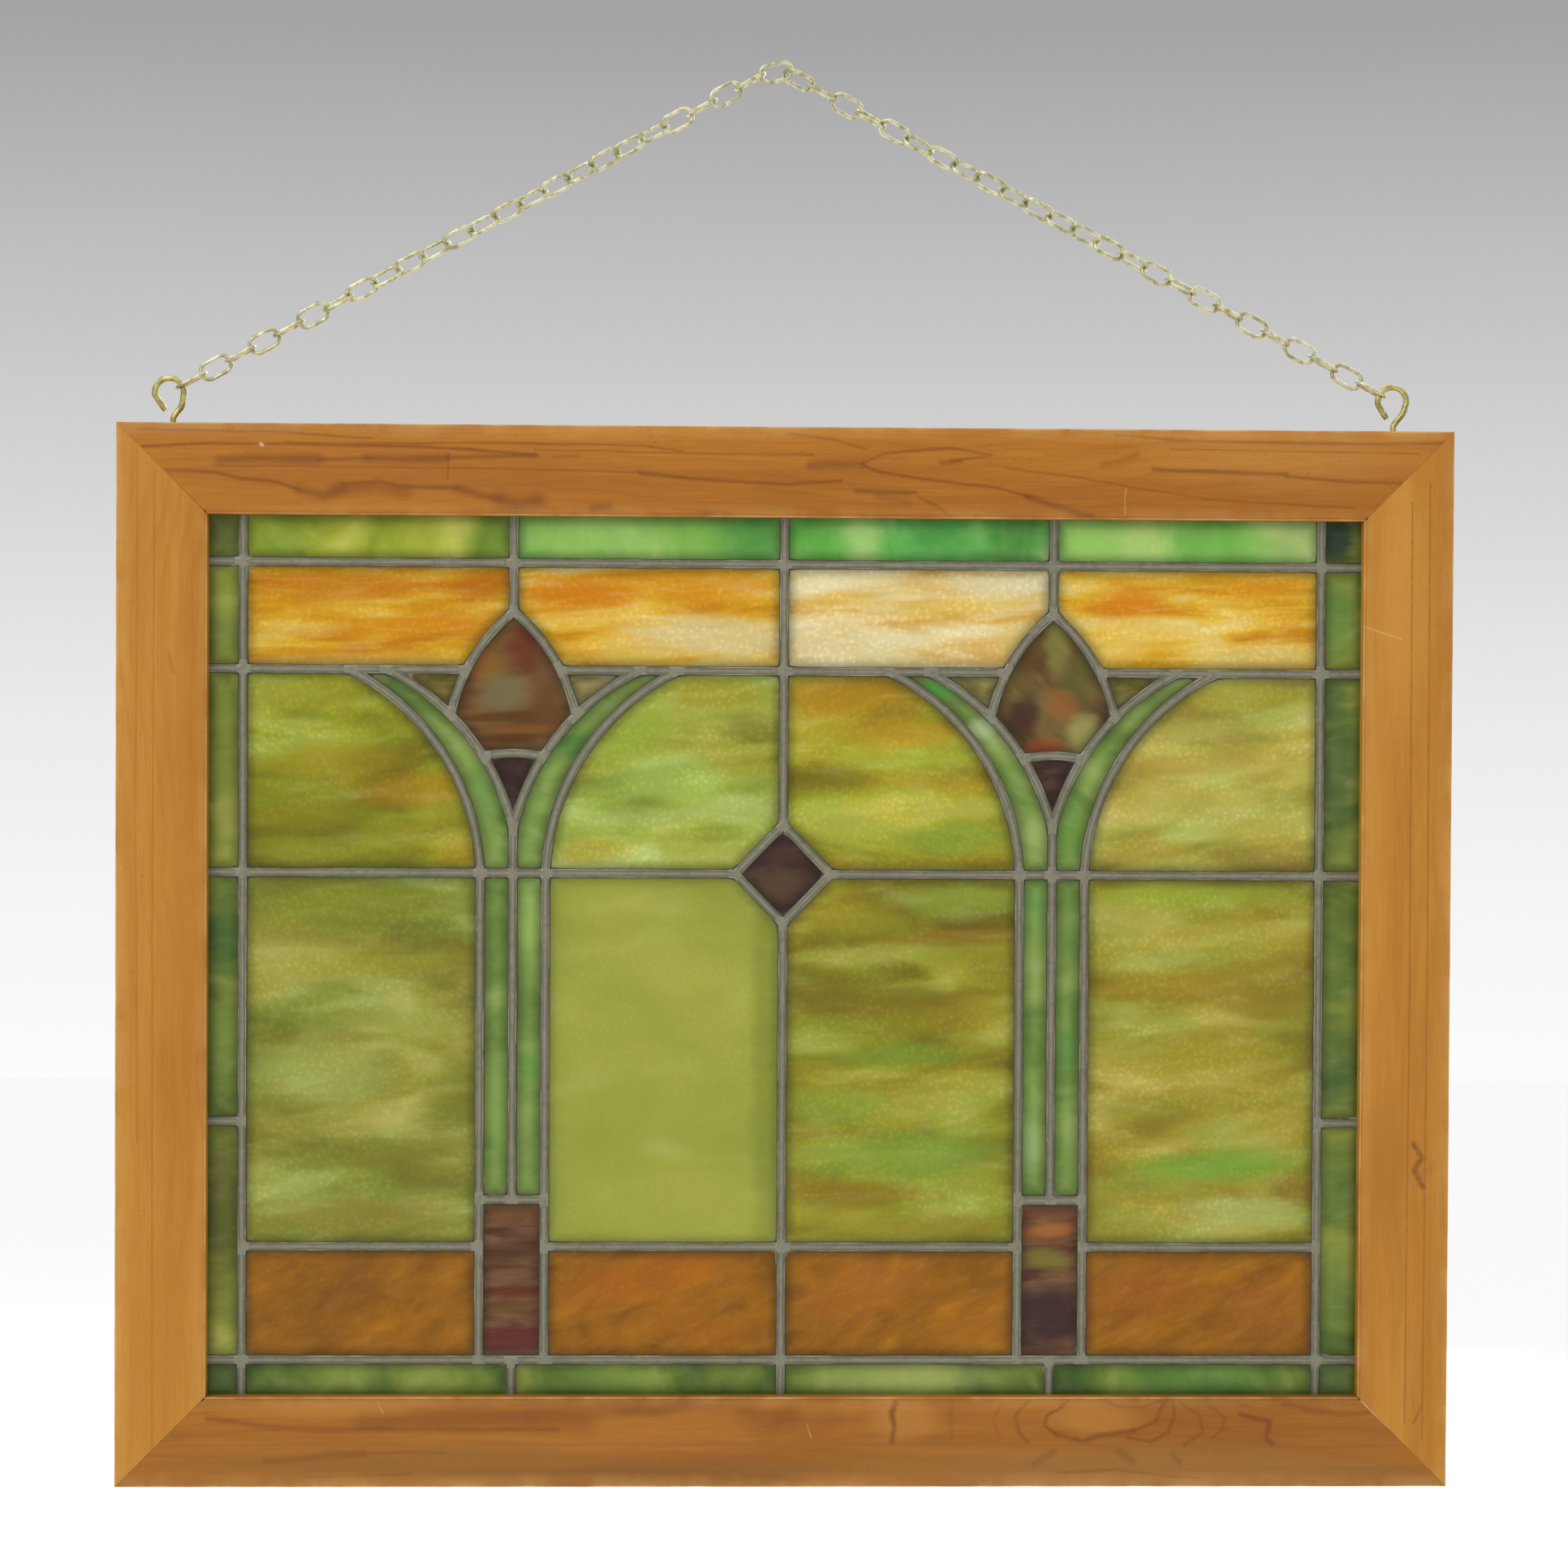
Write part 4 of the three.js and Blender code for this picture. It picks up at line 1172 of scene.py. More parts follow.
def wood_material(name, tones, upright, pith, marks, streaks, seed, line, ring_gap):
    """Varnished softwood, cut so that its rings show as long lines. tones are (light, middle,
    dark). pith is what is added, in millimetres, to a place turned so that the board lies along X,
    to measure it from the middle of the tree. ring_gap is the space between two rings."""
    tree = Tree(name)
    place = tree.place()
    swap = (0, 90)[upright]
    light, middle, dark = (srgb(*tone) for tone in tones)
    offset = (seed * 1.7, seed * 0.9, seed * 2.3)
    slow = tree.noise(tree.stretched(place, (7, 16, 20), swap, offset), detail=2, roughness=0.45)
    wavy = tree.noise(tree.stretched(place, (24, 50, 90), swap, offset), detail=3, roughness=0.5)
    turned = tree.stretched(place, (1, 1, 1), swap)
    shift = tree.add("Mapping", Vector=turned, Location=[p * MM for p in pith])
    along, deep, up = tree.add("SeparateXYZ", Vector=shift.outputs[0]).outputs
    flat = tree.add("CombineXYZ", X=tree.math("MULTIPLY", along, TAPER), Y=deep, Z=up)
    radius = tree.vector_math("LENGTH", flat.outputs[0], output=1)
    rings = tree.math("DIVIDE", radius, ring_gap * MM)
    rings = tree.math("MULTIPLY_ADD", slow, 6.5, rings)
    rings = tree.math("MULTIPLY_ADD", wavy, 1.1, rings)
    saw = tree.math("FRACT", rings)
    late = tree.ramp(saw, [(spot, (grey, grey, grey, 1)) for spot, grey in RING])
    fade = tree.span(tree.noise(tree.stretched(place, (9, 30, 42), swap, offset), detail=3), 0.38, 0.66)
    late = tree.math("MULTIPLY", late, tree.math("MULTIPLY_ADD", fade, 0.85, 0.15))
    tone = tree.noise(tree.stretched(place, (5, 20, 55), swap, offset), detail=4, roughness=0.55)
    colour = tree.mix(tree.span(tone, 0.32, 0.68), middle, light)
    colour = tree.mix(tree.math("MULTIPLY", late, line), colour, dark)
    fibres = tree.noise(tree.stretched(place, (38, 1500, 1500), swap, offset), detail=3, roughness=0.7)
    colour = tree.mix(tree.span(fibres, 0.35, 0.65, 0.16, 0.0), colour, dark)
    colour = tree.mix(tree.span(fibres, 0.5, 0.8, 0.0, 0.14), colour, light)
    colour = tree.spots(place, colour, marks, ragged=0.3)
    colour = tree.streaks(tree.wavered(place, 0.7 * MM), colour, streaks)
    edge = tree.attribute("arris")
    patchy = tree.noise(place, 45, detail=4, roughness=0.6)
    rubbed = tree.math("MULTIPLY", edge, tree.span(patchy, 0.35, 0.65, 0.15, 0.75))
    colour = tree.mix(rubbed, colour, srgb(214, 168, 100))
    grime = tree.span(tree.noise(place, 900, detail=2), 0.62, 0.76, 0.0, 0.35)
    colour = tree.mix(grime, colour, dark)
    relief_height = tree.math("MULTIPLY_ADD", late, -0.35, fibres)
    normal = tree.bump(relief_height, 0.25, 0.18 * MM)
    shine = tree.span(fibres, 0.3, 0.7, 0.36, 0.52)
    skin = tree.add(
        "BsdfPrincipled",
        Base_Color=colour,
        Roughness=shine,
        Specular_IOR_Level=0.22,
        Normal=normal,
    )
    return tree.finish(skin.outputs[0])


ARRIS = 0.7 * MM  # how far the long edges are rounded
ARRIS_STEP = math.pi / 8
GROOVE_DEPTH = 7 * MM
GROOVE_GAP = 0.3 * MM
PROFILE_GAP = 6 * MM  # between points across a board
BOARD_STEP = 4 * MM  # between points along it
MITRE_GAP = 0.06 * MM


def board_profile():
    """The board's section: (inwards from the outer edge, depth from the front), and which points
    lie on a rounded arris. The groove for the panel runs along its inner edge."""
    depth = FRAME_BACK - FRAME_FRONT
    groove_low = CAME_FRONT - GROOVE_GAP - FRAME_FRONT
    groove_high = depth - groove_low
    groove_deep = BOARD_FACE - GROOVE_DEPTH
    corners = (
        (0, 0, 1, 1),
        (BOARD_FACE, 0, -1, 1),
        (BOARD_FACE, groove_low, 0, 0),
        (groove_deep, groove_low, 0, 0),
        (groove_deep, groove_high, 0, 0),
        (BOARD_FACE, groove_high, 0, 0),
        (BOARD_FACE, depth, -1, -1),
        (0, depth, 1, -1),
    )
    profile = []
    for across, deep, way_across, way_deep in corners:
        if not way_across:
            profile.append((across, deep, 0.0))
            continue
        centre = Vector((across + way_across * ARRIS, deep + way_deep * ARRIS))
        start = math.atan2(-way_deep, -way_across)
        turning = -1 if way_across * way_deep < 0 else 1
        for step in (-2, -1, 0, 1, 2):
            angle = start + turning * step * ARRIS_STEP
            spot = centre + ARRIS * Vector((math.cos(angle), math.sin(angle)))
            profile.append((spot.x, spot.y, 1.0 if abs(step) < 2 else 0.4))
    return profile


def with_face_points(profile, gap):
    """The profile with more points across its wide faces, so that wear can shape them."""
    full = []
    for (a, da, ma), (b, db, _) in zip(profile, profile[1:] + profile[:1]):
        full.append((a, da, ma))
        count = int(math.hypot(b - a, db - da) / gap)
        for k in range(1, count):
            t = k / count
            full.append((a + (b - a) * t, da + (db - da) * t, 0.0))
    return full


def make_board(name, material, slot, long_axis, side, seed):
    """A mitred board. side is +1 where its outer edge is at the high end of the short axis."""
    profile = with_face_points(board_profile(), PROFILE_GAP)
    low, high = (FRAME_LEFT, FRAME_RIGHT) if long_axis == "x" else (FRAME_BOTTOM, FRAME_TOP)
    outer = {
        ("x", 1): FRAME_TOP,
        ("x", -1): FRAME_BOTTOM,
        ("z", -1): FRAME_LEFT,
        ("z", 1): FRAME_RIGHT,
    }[(long_axis, side)]
    count = round((high - low) / BOARD_STEP)
    rings = []
    for i in range(count + 1):
        share = i / count
        ring = []
        for across, deep, arris in profile:
            inset = across + MITRE_GAP
            along = low + inset + share * (high - low - 2 * inset)
            spot = Vector((along * 60, across * 200, seed * 10 + deep * 200))
            worn = arris * (0.12 + 0.5 * max(0.0, noise.noise(spot * 1.7))) * MM
            worn += 0.05 * MM * noise.noise(spot * 0.7)
            towards = Vector((BOARD_FACE / 2 - across, (FRAME_BACK - FRAME_FRONT) / 2 - deep)).normalized()
            a = across + towards.x * max(worn, 0)
            y = FRAME_FRONT + deep + towards.y * max(worn, 0)
            sideways = outer - side * a
            ring.append((along, y, sideways) if long_axis == "x" else (sideways, y, along))
        rings.append(ring)
    body = Builder()
    body.tube(rings, [arris for _, _, arris in profile], closed=False)
    piece = body.piece(f"board_{name}", material, node_names=(name,), slot=slot, smooth=35)
    mark_points(piece, "arris", body.marks)
    outwards(piece)
    return piece


def outwards(piece):
    """Turns a closed piece's faces out if they look in."""
    mesh = piece.data
    mesh.calc_loop_triangles()
    co = np.array([v.co for v in mesh.vertices])
    triangles = np.array([t.vertices for t in mesh.loop_triangles])
    a, b, c = (co[triangles[:, k]] for k in range(3))
    if np.einsum("ij,ij->i", a, np.cross(b, c)).sum() < 0:
        mesh.flip_normals()


RAIL_TONES = ((178, 115, 35), (160, 98, 25), (112, 56, 12))
LOWER_TONES = ((168, 107, 33), (144, 88, 25), (108, 60, 18))
STILE_TONES = ((188, 130, 48), (172, 112, 34), (140, 84, 22))
LATEWOOD = (118, 65, 21)
SCAR = (108, 56, 20)
SCRATCH = (216, 166, 100)


# Grain lines: (half width in millimetres, strength, colour, points).
TOP_STREAKS = (
    (0.4, 0.6, LATEWOOD, ((9, 3), (70, 4), (106, 6))),
    (0.5, 0.75, LATEWOOD, ((11, 10), (40, 8.8), (84, 9), (128, 9.4), (174, 12.6))),
    (0.4, 0.6, LATEWOOD, ((70, 8.4), (150, 7.8), (218, 8.4), (236, 10.6))),
    (0.35, 0.5, LATEWOOD, ((174, 10.4), (218, 11.2), (290, 12))),
    (1.5, 0.75, LATEWOOD, ((43, 15.6), (58, 14.8), (84, 15))),
    (0.7, 0.65, LATEWOOD, ((84, 15), (104, 14.4))),
    (1.3, 0.8, LATEWOOD, ((104, 14.4), (122, 14.6), (137, 14))),
    (0.6, 0.7, LATEWOOD, ((137, 14), (175, 12.9))),
    (0.5, 0.45, LATEWOOD, ((182, 13.2), (192, 13.2))),
    (0.35, 0.5, LATEWOOD, ((40, 18), (94, 18.2), (138, 18), (218, 19.4))),
    (0.6, 0.75, LATEWOOD, ((218, 19.6), (240, 22), (279, 24.2), (302, 22.6))),
    (0.3, 0.55, SCAR, ((137.8, 12.5), (138, 18), (137.6, 22.6))),
    (0.6, 0.8, LATEWOOD, ((21, 20), (41, 20.8), (52, 23.4), (67, 24.8), (76, 27.6))),
    (1.6, 0.75, LATEWOOD, ((76, 27.6), (86, 30), (94, 26.6))),
    (2.0, 0.55, LATEWOOD, ((92, 27.4), (108, 25.4), (120, 28))),
    (0.7, 0.8, LATEWOOD, ((94, 25.6), (109, 23.8), (118, 26), (142, 26.4))),
    (1.3, 0.7, LATEWOOD, ((142, 26.6), (150, 29.4), (160, 31))),
    (2.8, 0.8, LATEWOOD, ((160, 32), (168, 34), (175, 31.6))),
    (1.3, 0.7, LATEWOOD, ((198, 34.6), (205, 34.2))),
    (0.8, 0.35, LATEWOOD, ((245, 36), (252, 36))),
    (0.4, 0.5, LATEWOOD, ((280, 3), (300, 5.6), (312, 9))),
    (1.2, 0.6, LATEWOOD, ((289, 16), (301, 15.6), (311, 15.4))),
    (0.45, 0.6, LATEWOOD, ((311, 15), (320, 11), (348, 8.6), (365, 11.4), (348, 14))),
    (0.9, 0.6, LATEWOOD, ((344, 14.8), (352, 14))),
    (0.5, 0.75, LATEWOOD, ((311, 15.8), (319, 19), (343, 22.4), (368, 25), (382, 29))),
    (1.0, 0.75, LATEWOOD, ((380, 28.6), (393, 32.6), (407, 36.6))),
    (0.8, 0.8, LATEWOOD, ((308, 26.6), (320, 27), (333, 27.4))),
    (1.6, 0.45, LATEWOOD, ((318, 29), (330, 31))),
    (0.6, 0.55, LATEWOOD, ((334, 29), (341, 32), (348, 37))),
    (1.0, 0.45, LATEWOOD, ((412, 14.6), (419, 13.4), (426, 10.6))),
    (0.7, 0.7, LATEWOOD, ((433, 16.6), (445, 17.4), (489, 18.4))),
    (0.5, 0.6, LATEWOOD, ((489, 19.4), (512, 21.4), (538, 21.8))),
    (0.4, 0.5, LATEWOOD, ((371, 16.6), (399, 20), (428, 25), (458, 29.4), (517, 32.4))),
    (0.5, 0.6, LATEWOOD, ((417, 2.6), (450, 4.6), (508, 5.6), (556, 5))),
    (0.3, 0.4, LATEWOOD, ((440, 8), (500, 9), (545, 9.4))),
    (0.2, 0.4, SCRATCH, ((421.6, 25), (421, 30), (421.4, 35))),
    (5.0, 0.3, (146, 88, 26), ((22, 20), (90, 22), (176, 20))),
    (0.5, 0.9, (214, 192, 160), ((60, 9), (60.8, 9.4))),
)
LOWER_STREAKS = (
    (0.9, 0.6, LATEWOOD, ((39, 416), (66, 419.4), (90, 420.8), (130, 420.6), (185, 420.6))),
    (2.8, 0.5, LATEWOOD, ((104, 418), (140, 417), (172, 416.6))),
    (3.6, 0.5, LATEWOOD, ((176, 415.6), (188, 415), (196, 417))),
    (1.8, 0.6, LATEWOOD, ((212, 411), (226, 412), (240, 410.4))),
    (4.0, 0.5, LATEWOOD, ((264, 412), (272, 418), (282, 414))),
    (3.0, 0.4, LATEWOOD, ((278, 418), (292, 420), (301, 417))),
    (0.35, 0.5, (124, 92, 54), ((24, 427.4), (220, 427), (400, 427.4), (532, 428))),
    (3.0, 0.35, (134, 94, 40), ((24, 437), (180, 438), (360, 436.6), (536, 438))),
    (2.2, 0.5, (138, 78, 28), ((196, 411), (224, 410), (252, 411))),
    (1.5, 0.4, (138, 78, 28), ((158, 415.4), (176, 414.6), (194, 416))),
    (1.0, 0.5, LATEWOOD, ((63, 434), (76, 433), (90, 431.4), (104, 430.8))),
    (0.5, 0.4, LATEWOOD, ((104, 430.8), (122, 430.2), (138, 430.4))),
    (0.5, 0.4, LATEWOOD, ((80, 440.6), (100, 440), (124, 439.4))),
    (1.4, 0.35, LATEWOOD, ((134, 440), (200, 438), (280, 440.6))),
    (0.8, 0.85, LATEWOOD, ((327, 409.4), (325.4, 414), (326.6, 419), (325.6, 426))),
    (0.6, 0.3, LATEWOOD, ((351, 410), (350, 417), (351, 424))),
    (0.5, 0.3, LATEWOOD, ((372, 409), (368.4, 416), (371, 425))),
    (0.6, 0.6, LATEWOOD, ((383, 408.6), (377.4, 415), (379.4, 422), (383, 426.4))),
    (0.55, 0.75, LATEWOOD, ((397, 411.4), (390.8, 415), (390, 419), (395, 423))),
    (0.95, 0.8, LATEWOOD, ((395, 423), (406, 425.6), (413, 423.2), (427, 421.4))),
    (0.6, 0.75, LATEWOOD, ((427, 421.4), (437, 417.4), (439, 412), (442, 408))),
    (0.5, 0.65, LATEWOOD, ((397, 411.4), (400, 408))),
    (0.5, 0.6, LATEWOOD, ((413, 407.4), (420, 411), (430, 411.8), (439, 408.8))),
    (0.6, 0.7, LATEWOOD, ((444, 408), (444.8, 415.4), (442, 422), (435, 426), (425, 424))),
    (0.6, 0.65, LATEWOOD, ((447.4, 409.4), (455.6, 415), (456.8, 422), (449, 427.4))),
    (0.5, 0.55, LATEWOOD, ((457.4, 409.4), (466, 415.4), (465, 420.8), (460.6, 424.4))),
    (0.75, 0.9, LATEWOOD, ((472.6, 414.4), (479, 416), (485.2, 417.2), (483.6, 424.6), (486, 426.6))),
    (0.9, 0.6, LATEWOOD, ((491, 409.8), (504, 413), (515, 414.8), (527, 413.8))),
    (1.1, 0.55, (120, 72, 36), ((386, 434.6), (391, 432), (394, 430))),
    (1.3, 0.6, (120, 72, 36), ((422, 430.4), (427, 434))),
    (1.1, 0.55, (120, 72, 36), ((444, 431), (447, 434.6))),
    (0.4, 0.4, LATEWOOD, ((396, 439), (420, 437.6), (438, 440), (456, 441.4))),
    (0.2, 0.5, SCRATCH, ((290, 419), (291.6, 424))),
    (0.2, 0.5, SCRATCH, ((110, 409), (112, 414))),
)
SEAM = (138, 88, 30)
RIGHT_STREAKS = (
    (0.26, 0.75, SEAM, ((542.4, 30), (542.8, 230), (542.2, 418))),
    (0.26, 0.7, SEAM, ((549.8, 22), (550.2, 230), (549.6, 425))),
    (0.9, 0.8, (112, 66, 28), ((545, 300), (548.6, 306), (545.4, 311), (549, 318))),
    (1.2, 0.35, (150, 96, 40), ((554, 309), (547, 314))),
    (0.5, 0.6, (122, 78, 34), ((549, 412), (546, 418))),
    (0.5, 0.7, (104, 60, 24), ((521.6, 318), (521.4, 352))),
    (0.25, 0.6, SCRATCH, ((538, 87), (522, 82))),
)
LEFT_STREAKS = (
    (0.3, 0.45, SEAM, ((16, 20), (15.4, 200), (15.8, 430))),
    (0.3, 0.35, SEAM, ((9, 12), (8.4, 160), (9.4, 300))),
    (0.6, 0.5, (156, 94, 30), ((22, 96), (24, 104))),
)


BOARDS = {
    "top_rail": dict(
        slot="rail_pine",
        axis="x",
        side=1,
        tones=RAIL_TONES,
        pith=(0, 60, 480),
        marks=((490, 12, 60, 16, 0, (186, 132, 66), 0.35), (110, 16, 90, 14, 0, (156, 92, 28), 0.4)),
        streaks=TOP_STREAKS,
        seed=3,
        line=0.16,
        ring_gap=5.5,
    ),
    "bottom_rail": dict(
        slot="rail_pine",
        axis="x",
        side=-1,
        tones=LOWER_TONES,
        pith=(-140, 40, 690),
        marks=(
            (430, 437, 120, 9, 0, (150, 106, 50), 0.6),
            (140, 435, 90, 9, 0, (136, 92, 38), 0.6),
            (250, 438, 60, 6, 0, (132, 84, 30), 0.5),
            (330, 416, 16, 10, 0, (176, 122, 52), 0.6),
            (412, 417, 22, 7, 0, (178, 122, 48), 0.6),
            (90, 412, 40, 5, 0, (176, 118, 46), 0.6),
        ),
        streaks=LOWER_STREAKS,
        seed=8,
        line=0.14,
        ring_gap=5,
    ),
    "left_stile": dict(
        slot="stile_pine",
        axis="z",
        side=-1,
        tones=STILE_TONES,
        pith=(0, 60, 300),
        marks=((24, 200, 12, 60, 0, (188, 126, 44), 0.35), (18, 380, 16, 50, 0, (180, 114, 34), 0.5)),
        streaks=LEFT_STREAKS,
        seed=14,
        line=0.2,
        ring_gap=5.5,
    ),
    "right_stile": dict(
        slot="stile_pine",
        axis="z",
        side=1,
        tones=STILE_TONES,
        pith=(0, 60, -300),
        marks=((540, 70, 14, 60, 0, (198, 142, 58), 0.5), (534, 312, 10, 34, 0, (160, 104, 38), 0.5)),
        streaks=RIGHT_STREAKS,
        seed=21,
        line=0.12,
        ring_gap=5,
    ),
}


def make_frame():
    for number, (name, board) in enumerate(BOARDS.items(), start=1):
        facts = dict(board)
        slot, axis, side = (facts.pop(key) for key in ("slot", "axis", "side"))
        material = wood_material(f"pine_{name}", upright=axis == "z", **facts)
        make_board(name, material, slot, axis, side, number)


# ---- brass -------------------------------------------------------------------------------------

EYE_WIRE = 2.6 * MM
EYE_RADIUS = 6 * MM
EYE_RISE = 13.1 * MM
EYE_DEPTH = 9.5 * MM
EYE_BEND = {"from": 2.4 * MM, "to": 4.6 * MM, "reach": 1.2 * MM}  # where the shank leans out
EYE_ARC = (-15, 195, 15)  # degrees round the ring: first, last and step
EYE_SIDES = 18
LINK_SIDES = 10
LINK_STEPS = 36
EYES = {
    "left": {"x": FRAME_LEFT + 22.6 * MM, "shift": -1.7 * MM, "shoulder": (3.4, 7.4), "end": (-3.4, 5.6)},
    "right": {"x": FRAME_RIGHT - 24.3 * MM, "shift": -0.6 * MM, "shoulder": (3.9, 8.0), "end": (-2.9, 5.8)},
}
LINK_WIRE = 1.7 * MM
LINK_WIDTH = 8.9 * MM
LINK_LENGTHS = {"left": 15.02 * MM, "right": 14.86 * MM}
LINKS = {"left": 24, "right": 25}
APEX = Vector((-3.2 * MM, 0, -3.6 * MM))
APEX_TILT = math.radians(13)
RIGHT_START = Vector((0.5 * MM, 0, -3.6 * MM))
TWIST = {"left": ((4, 8), (17, 21)), "right": ((0, 6), (8, 19))}
FIRST_RIGHT_TURN = 0.55


def metal(name, light, shade, roughness):
    """Plated wire: bright where rubbed and duller in between."""
    tree = Tree(name)
    place = tree.place()
    dull = tree.noise(place, 260, detail=5, roughness=0.6)
    colour = tree.mix(tree.span(dull, 0.35, 0.62), srgb(*shade), srgb(*light))
    specks = tree.span(tree.noise(place, 700, detail=2), 0.64, 0.8, 0.0, 0.25)
    colour = tree.mix(specks, colour, srgb(112, 102, 66))
    shine = tree.span(dull, 0.3, 0.7, roughness + 0.1, roughness)
    normal = tree.bump(tree.noise(place, 260, detail=2), 0.03, 0.1 * MM)
    skin = tree.add("BsdfPrincipled", Base_Color=colour, Roughness=shine, Metallic=1.0, Normal=normal)
    return tree.finish(skin.outputs[0])


def smoothed(points, steps):
    """A Catmull-Rom curve through points."""
    ends = [points[0] * 2 - points[1]] + list(points) + [points[-1] * 2 - points[-2]]
    path = []
    for a, b, c, d in zip(ends, ends[1:], ends[2:], ends[3:]):
        for k in range(steps):
            t = k / steps
            square = (2 * a - 5 * b + 4 * c - d) * t**2
            cube = (3 * b - a - 3 * c + d) * t**3
            path.append(0.5 * (2 * b + (c - a) * t + square + cube))
    return path + [points[-1]]


def make_eye(side, material):
    """A screw eye of bent wire, its cut end rounded a little, and its shank out of sight."""
    eye = EYES[side]
    ring = Vector((eye["shift"], 0, EYE_RISE))
    points = [
        Vector((0, 0, -EYE_DEPTH)),
        Vector((0, 0, -EYE_DEPTH / 2)),
        Vector((0, 0, 0)),
        Vector((0, 0, EYE_BEND["from"])),
        Vector((EYE_BEND["reach"], 0, EYE_BEND["to"])),
        Vector((eye["shoulder"][0] * MM, 0, eye["shoulder"][1] * MM)),
    ]
    first, last, step = EYE_ARC
    for degrees in range(first, last + 1, step):
        angle = math.radians(degrees)
        points.append(ring + EYE_RADIUS * Vector((math.cos(angle), 0, math.sin(angle))))
    points.append(Vector((eye["end"][0] * MM, 0, eye["end"][1] * MM)))
    base = Vector((eye["x"], 0, FRAME_TOP))
    path = [base + p for p in smoothed(points, 5)]
    radii = [EYE_WIRE / 2] * len(path)
    radii[-1] = EYE_WIRE * 0.4
    body = Builder()
    body.tube(round_rings(path, radii, EYE_SIDES), closed=False)
    node = f"screw_eye_{side}"
    piece = body.piece(f"eye_{side}", material, node_names=(node,), slot="eye_brass", smooth=50)
    outwards(piece)


def link_rings(centre, tilt, turn, length):
    """An oval link of round wire, tilted up from X and turned about its own length."""
    end = (LINK_WIDTH - LINK_WIRE) / 2
    straight = (length - LINK_WIRE) / 2 - end
    path = []
    for k in range(LINK_STEPS):
        angle = math.tau * (k + 0.5) / LINK_STEPS
        pull = math.copysign(straight, math.cos(angle))
        path.append(Vector((end * math.cos(angle) + pull, 0, end * math.sin(angle))))
    place = Matrix.Translation(centre) @ Matrix.Rotation(-tilt, 4, "Y") @ Matrix.Rotation(turn, 4, "X")
    rings = round_rings(path, LINK_WIRE / 2, LINK_SIDES, closed=True)
    return [[place @ p for p in ring] for ring in rings]


def smooth_share(k, low, high):
    t = min(max((k - low) / (high - low), 0), 1)
    return t * t * (3 - 2 * t)


def strand(side, start, end):
    """The links between two crowns, each a quarter turn on from the last, with the strand's twist."""
    count, length = LINKS[side], LINK_LENGTHS[side]
    run = end - start
    tilt = math.atan2(run.z, run.x)
    half = (length - LINK_WIRE) / 2
    pitch = (run.length - 2 * half) / (count - 1)
    body = Builder()
    for k in range(count):
        turn = k + sum(smooth_share(k, low, high) / 2 for low, high in TWIST[side])
        turn += 1 if side == "left" else (FIRST_RIGHT_TURN if k == 0 else 0)
        centre = start + run.normalized() * (half + k * pitch)
        body.tube(link_rings(centre, tilt, turn * math.pi / 2, length))
    return body


def crown_in_ring(side):
    """Where the wire of a link bears inside a screw eye, towards the nail."""
    eye = EYES[side]
    ring = Vector((eye["x"] + eye["shift"], 0, FRAME_TOP + EYE_RISE))
    reach = EYE_RADIUS - EYE_WIRE / 2 - LINK_WIRE / 2
    return ring - ring.normalized() * reach


def make_chain(material):
    half = (LINK_LENGTHS["left"] - LINK_WIRE) / 2
    left_start = crown_in_ring("left")
    way = Vector((-left_start.x, 0, -left_start.z)).normalized()
    crown = APEX - half * Vector((math.cos(APEX_TILT), 0, math.sin(APEX_TILT)))
    left = strand("left", left_start, crown + way * LINK_WIRE)
    left.tube(link_rings(APEX, APEX_TILT, 0, LINK_LENGTHS["left"]))
    right = strand("right", RIGHT_START, crown_in_ring("right"))
    for side, body in (("left", left), ("right", right)):
        piece = body.piece(
            f"links_{side}", material, node_names=(f"chain_{side}",), slot="chain_brass", smooth=60
        )
        outwards(piece)


# ---- the object --------------------------------------------------------------------------------

lead = lead_material("lead", (98, 95, 77), (132, 128, 106), 0.5, 0.3)
solder = lead_material("solder", (98, 96, 79), (130, 127, 108), 0.42, 0.4)
putty = putty_material()
make_panes()
make_lead()
make_solder()
make_putty()
make_frame()
eye_brass = metal("eye_brass", (198, 188, 126), (150, 138, 82), 0.3)
chain_brass = metal("chain_brass", (212, 208, 172), (158, 154, 112), 0.34)
make_eye("left", eye_brass)
make_eye("right", eye_brass)
make_chain(chain_brass)


# ---- studio ------------------------------------------------------------------------------------

FLOOR_DROP = 0.42
FLOOR_HALF = 6
CAMERA_PLACE = (-42.3 * MM, -1558.8 * MM, -273.6 * MM)
CAMERA_TURN = (88.945, -0.301, -1.612)  # degrees
SENSOR = 36
LENS = 85


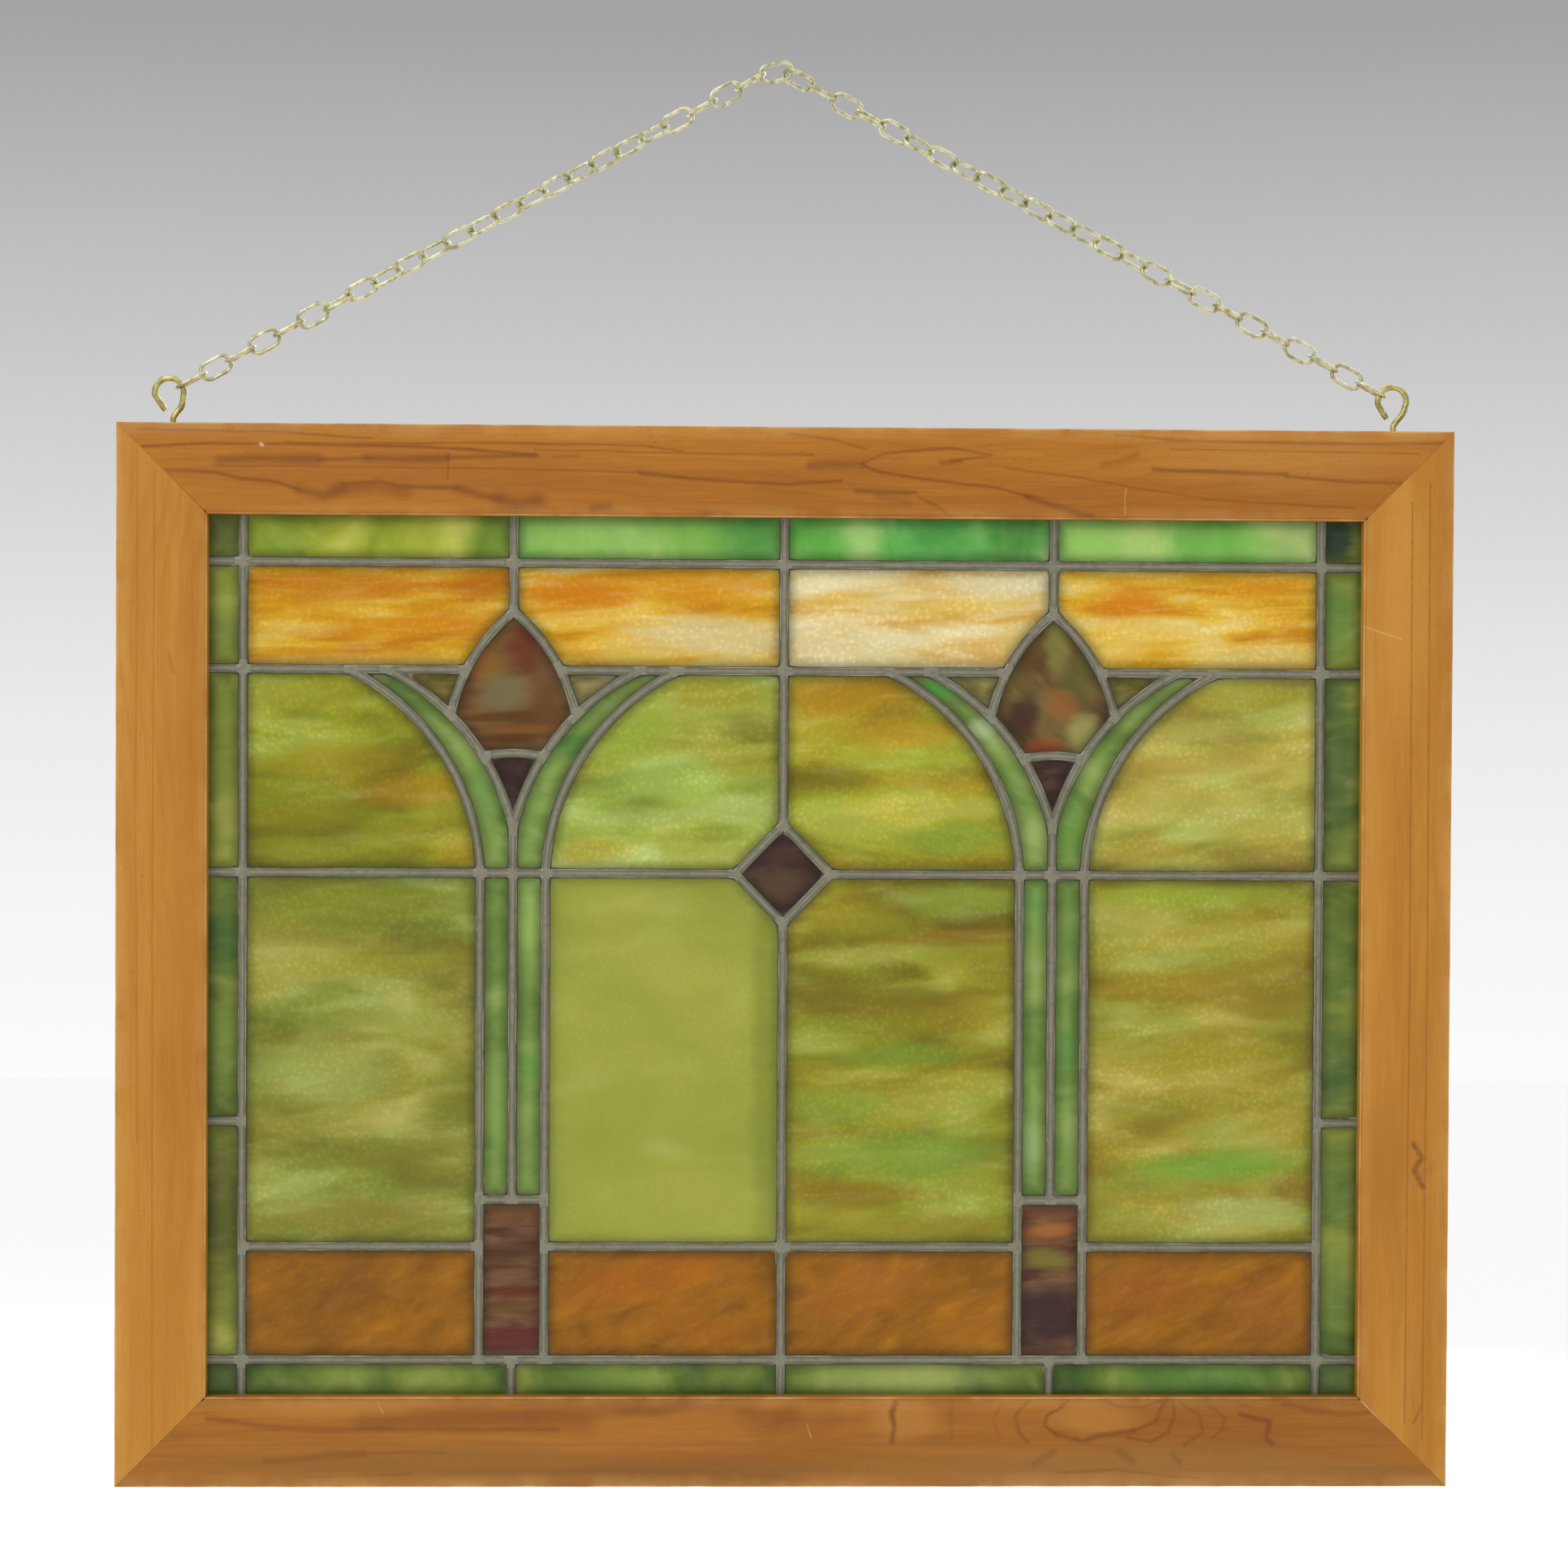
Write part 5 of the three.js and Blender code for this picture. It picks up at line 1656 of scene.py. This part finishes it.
def make_floor():
    """A wide pale floor, some way under the window as it hangs."""
    level = FRAME_BOTTOM - FLOOR_DROP
    mesh = bpy.data.meshes.new("floor")
    corners = [(x * FLOOR_HALF, y * FLOOR_HALF, level) for x, y in ((-1, -1), (1, -1), (1, 1), (-1, 1))]
    mesh.from_pydata(corners, [], [(0, 1, 2, 3)])
    tree = Tree("floor")
    skin = tree.add("BsdfPrincipled", Base_Color=(0.94, 0.94, 0.94, 1), Roughness=0.9)
    mesh.materials.append(tree.finish(skin.outputs[0]))
    floor = bpy.data.objects.new("floor", mesh)
    bpy.context.scene.collection.objects.link(floor)


def make_world():
    """A soft studio: white at the horizon, grey a little above it, and bright overhead."""
    world = bpy.data.worlds.new("studio")
    bpy.context.scene.world = world
    stops = (
        (0.0, 1.0),
        (0.45, 0.98),
        (0.472, 0.92),
        (0.5, 0.83),
        (0.531, 0.665),
        (0.563, 0.508),
        (0.591, 0.371),
        (0.63, 0.36),
        (0.72, 1.1),
    )
    tree = Tree(world)
    split = tree.add("SeparateXYZ", Vector=tree.add("TexCoord").outputs["Generated"])
    height = tree.math("MULTIPLY_ADD", split.outputs[2], 0.5, 0.5)
    sky = tree.ramp(height, [(place, (grey, grey, grey, 1)) for place, grey in stops])
    shade = tree.add("Background", Color=sky)
    tree.add("OutputWorld", Surface=shade.outputs[0])


def make_light(name, place, target, size, power):
    data = bpy.data.lights.new(name, "AREA")
    data.shape = "SQUARE"
    data.size = size
    data.energy = power
    light = bpy.data.objects.new(name, data)
    light.location = place
    light.rotation_euler = (Vector(target) - Vector(place)).to_track_quat("-Z", "Y").to_euler()
    light.visible_camera = False
    bpy.context.scene.collection.objects.link(light)


def make_camera():
    data = bpy.data.cameras.new("camera")
    data.lens = LENS
    data.sensor_width = SENSOR
    camera = bpy.data.objects.new("camera", data)
    camera.location = CAMERA_PLACE
    camera.rotation_euler = Euler([math.radians(a) for a in CAMERA_TURN])
    bpy.context.scene.collection.objects.link(camera)
    bpy.context.scene.camera = camera


make_floor()
make_world()
make_camera()
MIDDLE = (0, 0, (FRAME_TOP + FRAME_BOTTOM) / 2)
make_light("key", (-1.1, -1.9, 1.0), MIDDLE, size=1.2, power=14)
make_light("behind", (0.9, 2.1, 0.6), MIDDLE, size=1.6, power=22)
bpy.context.scene.view_settings.view_transform = "Standard"
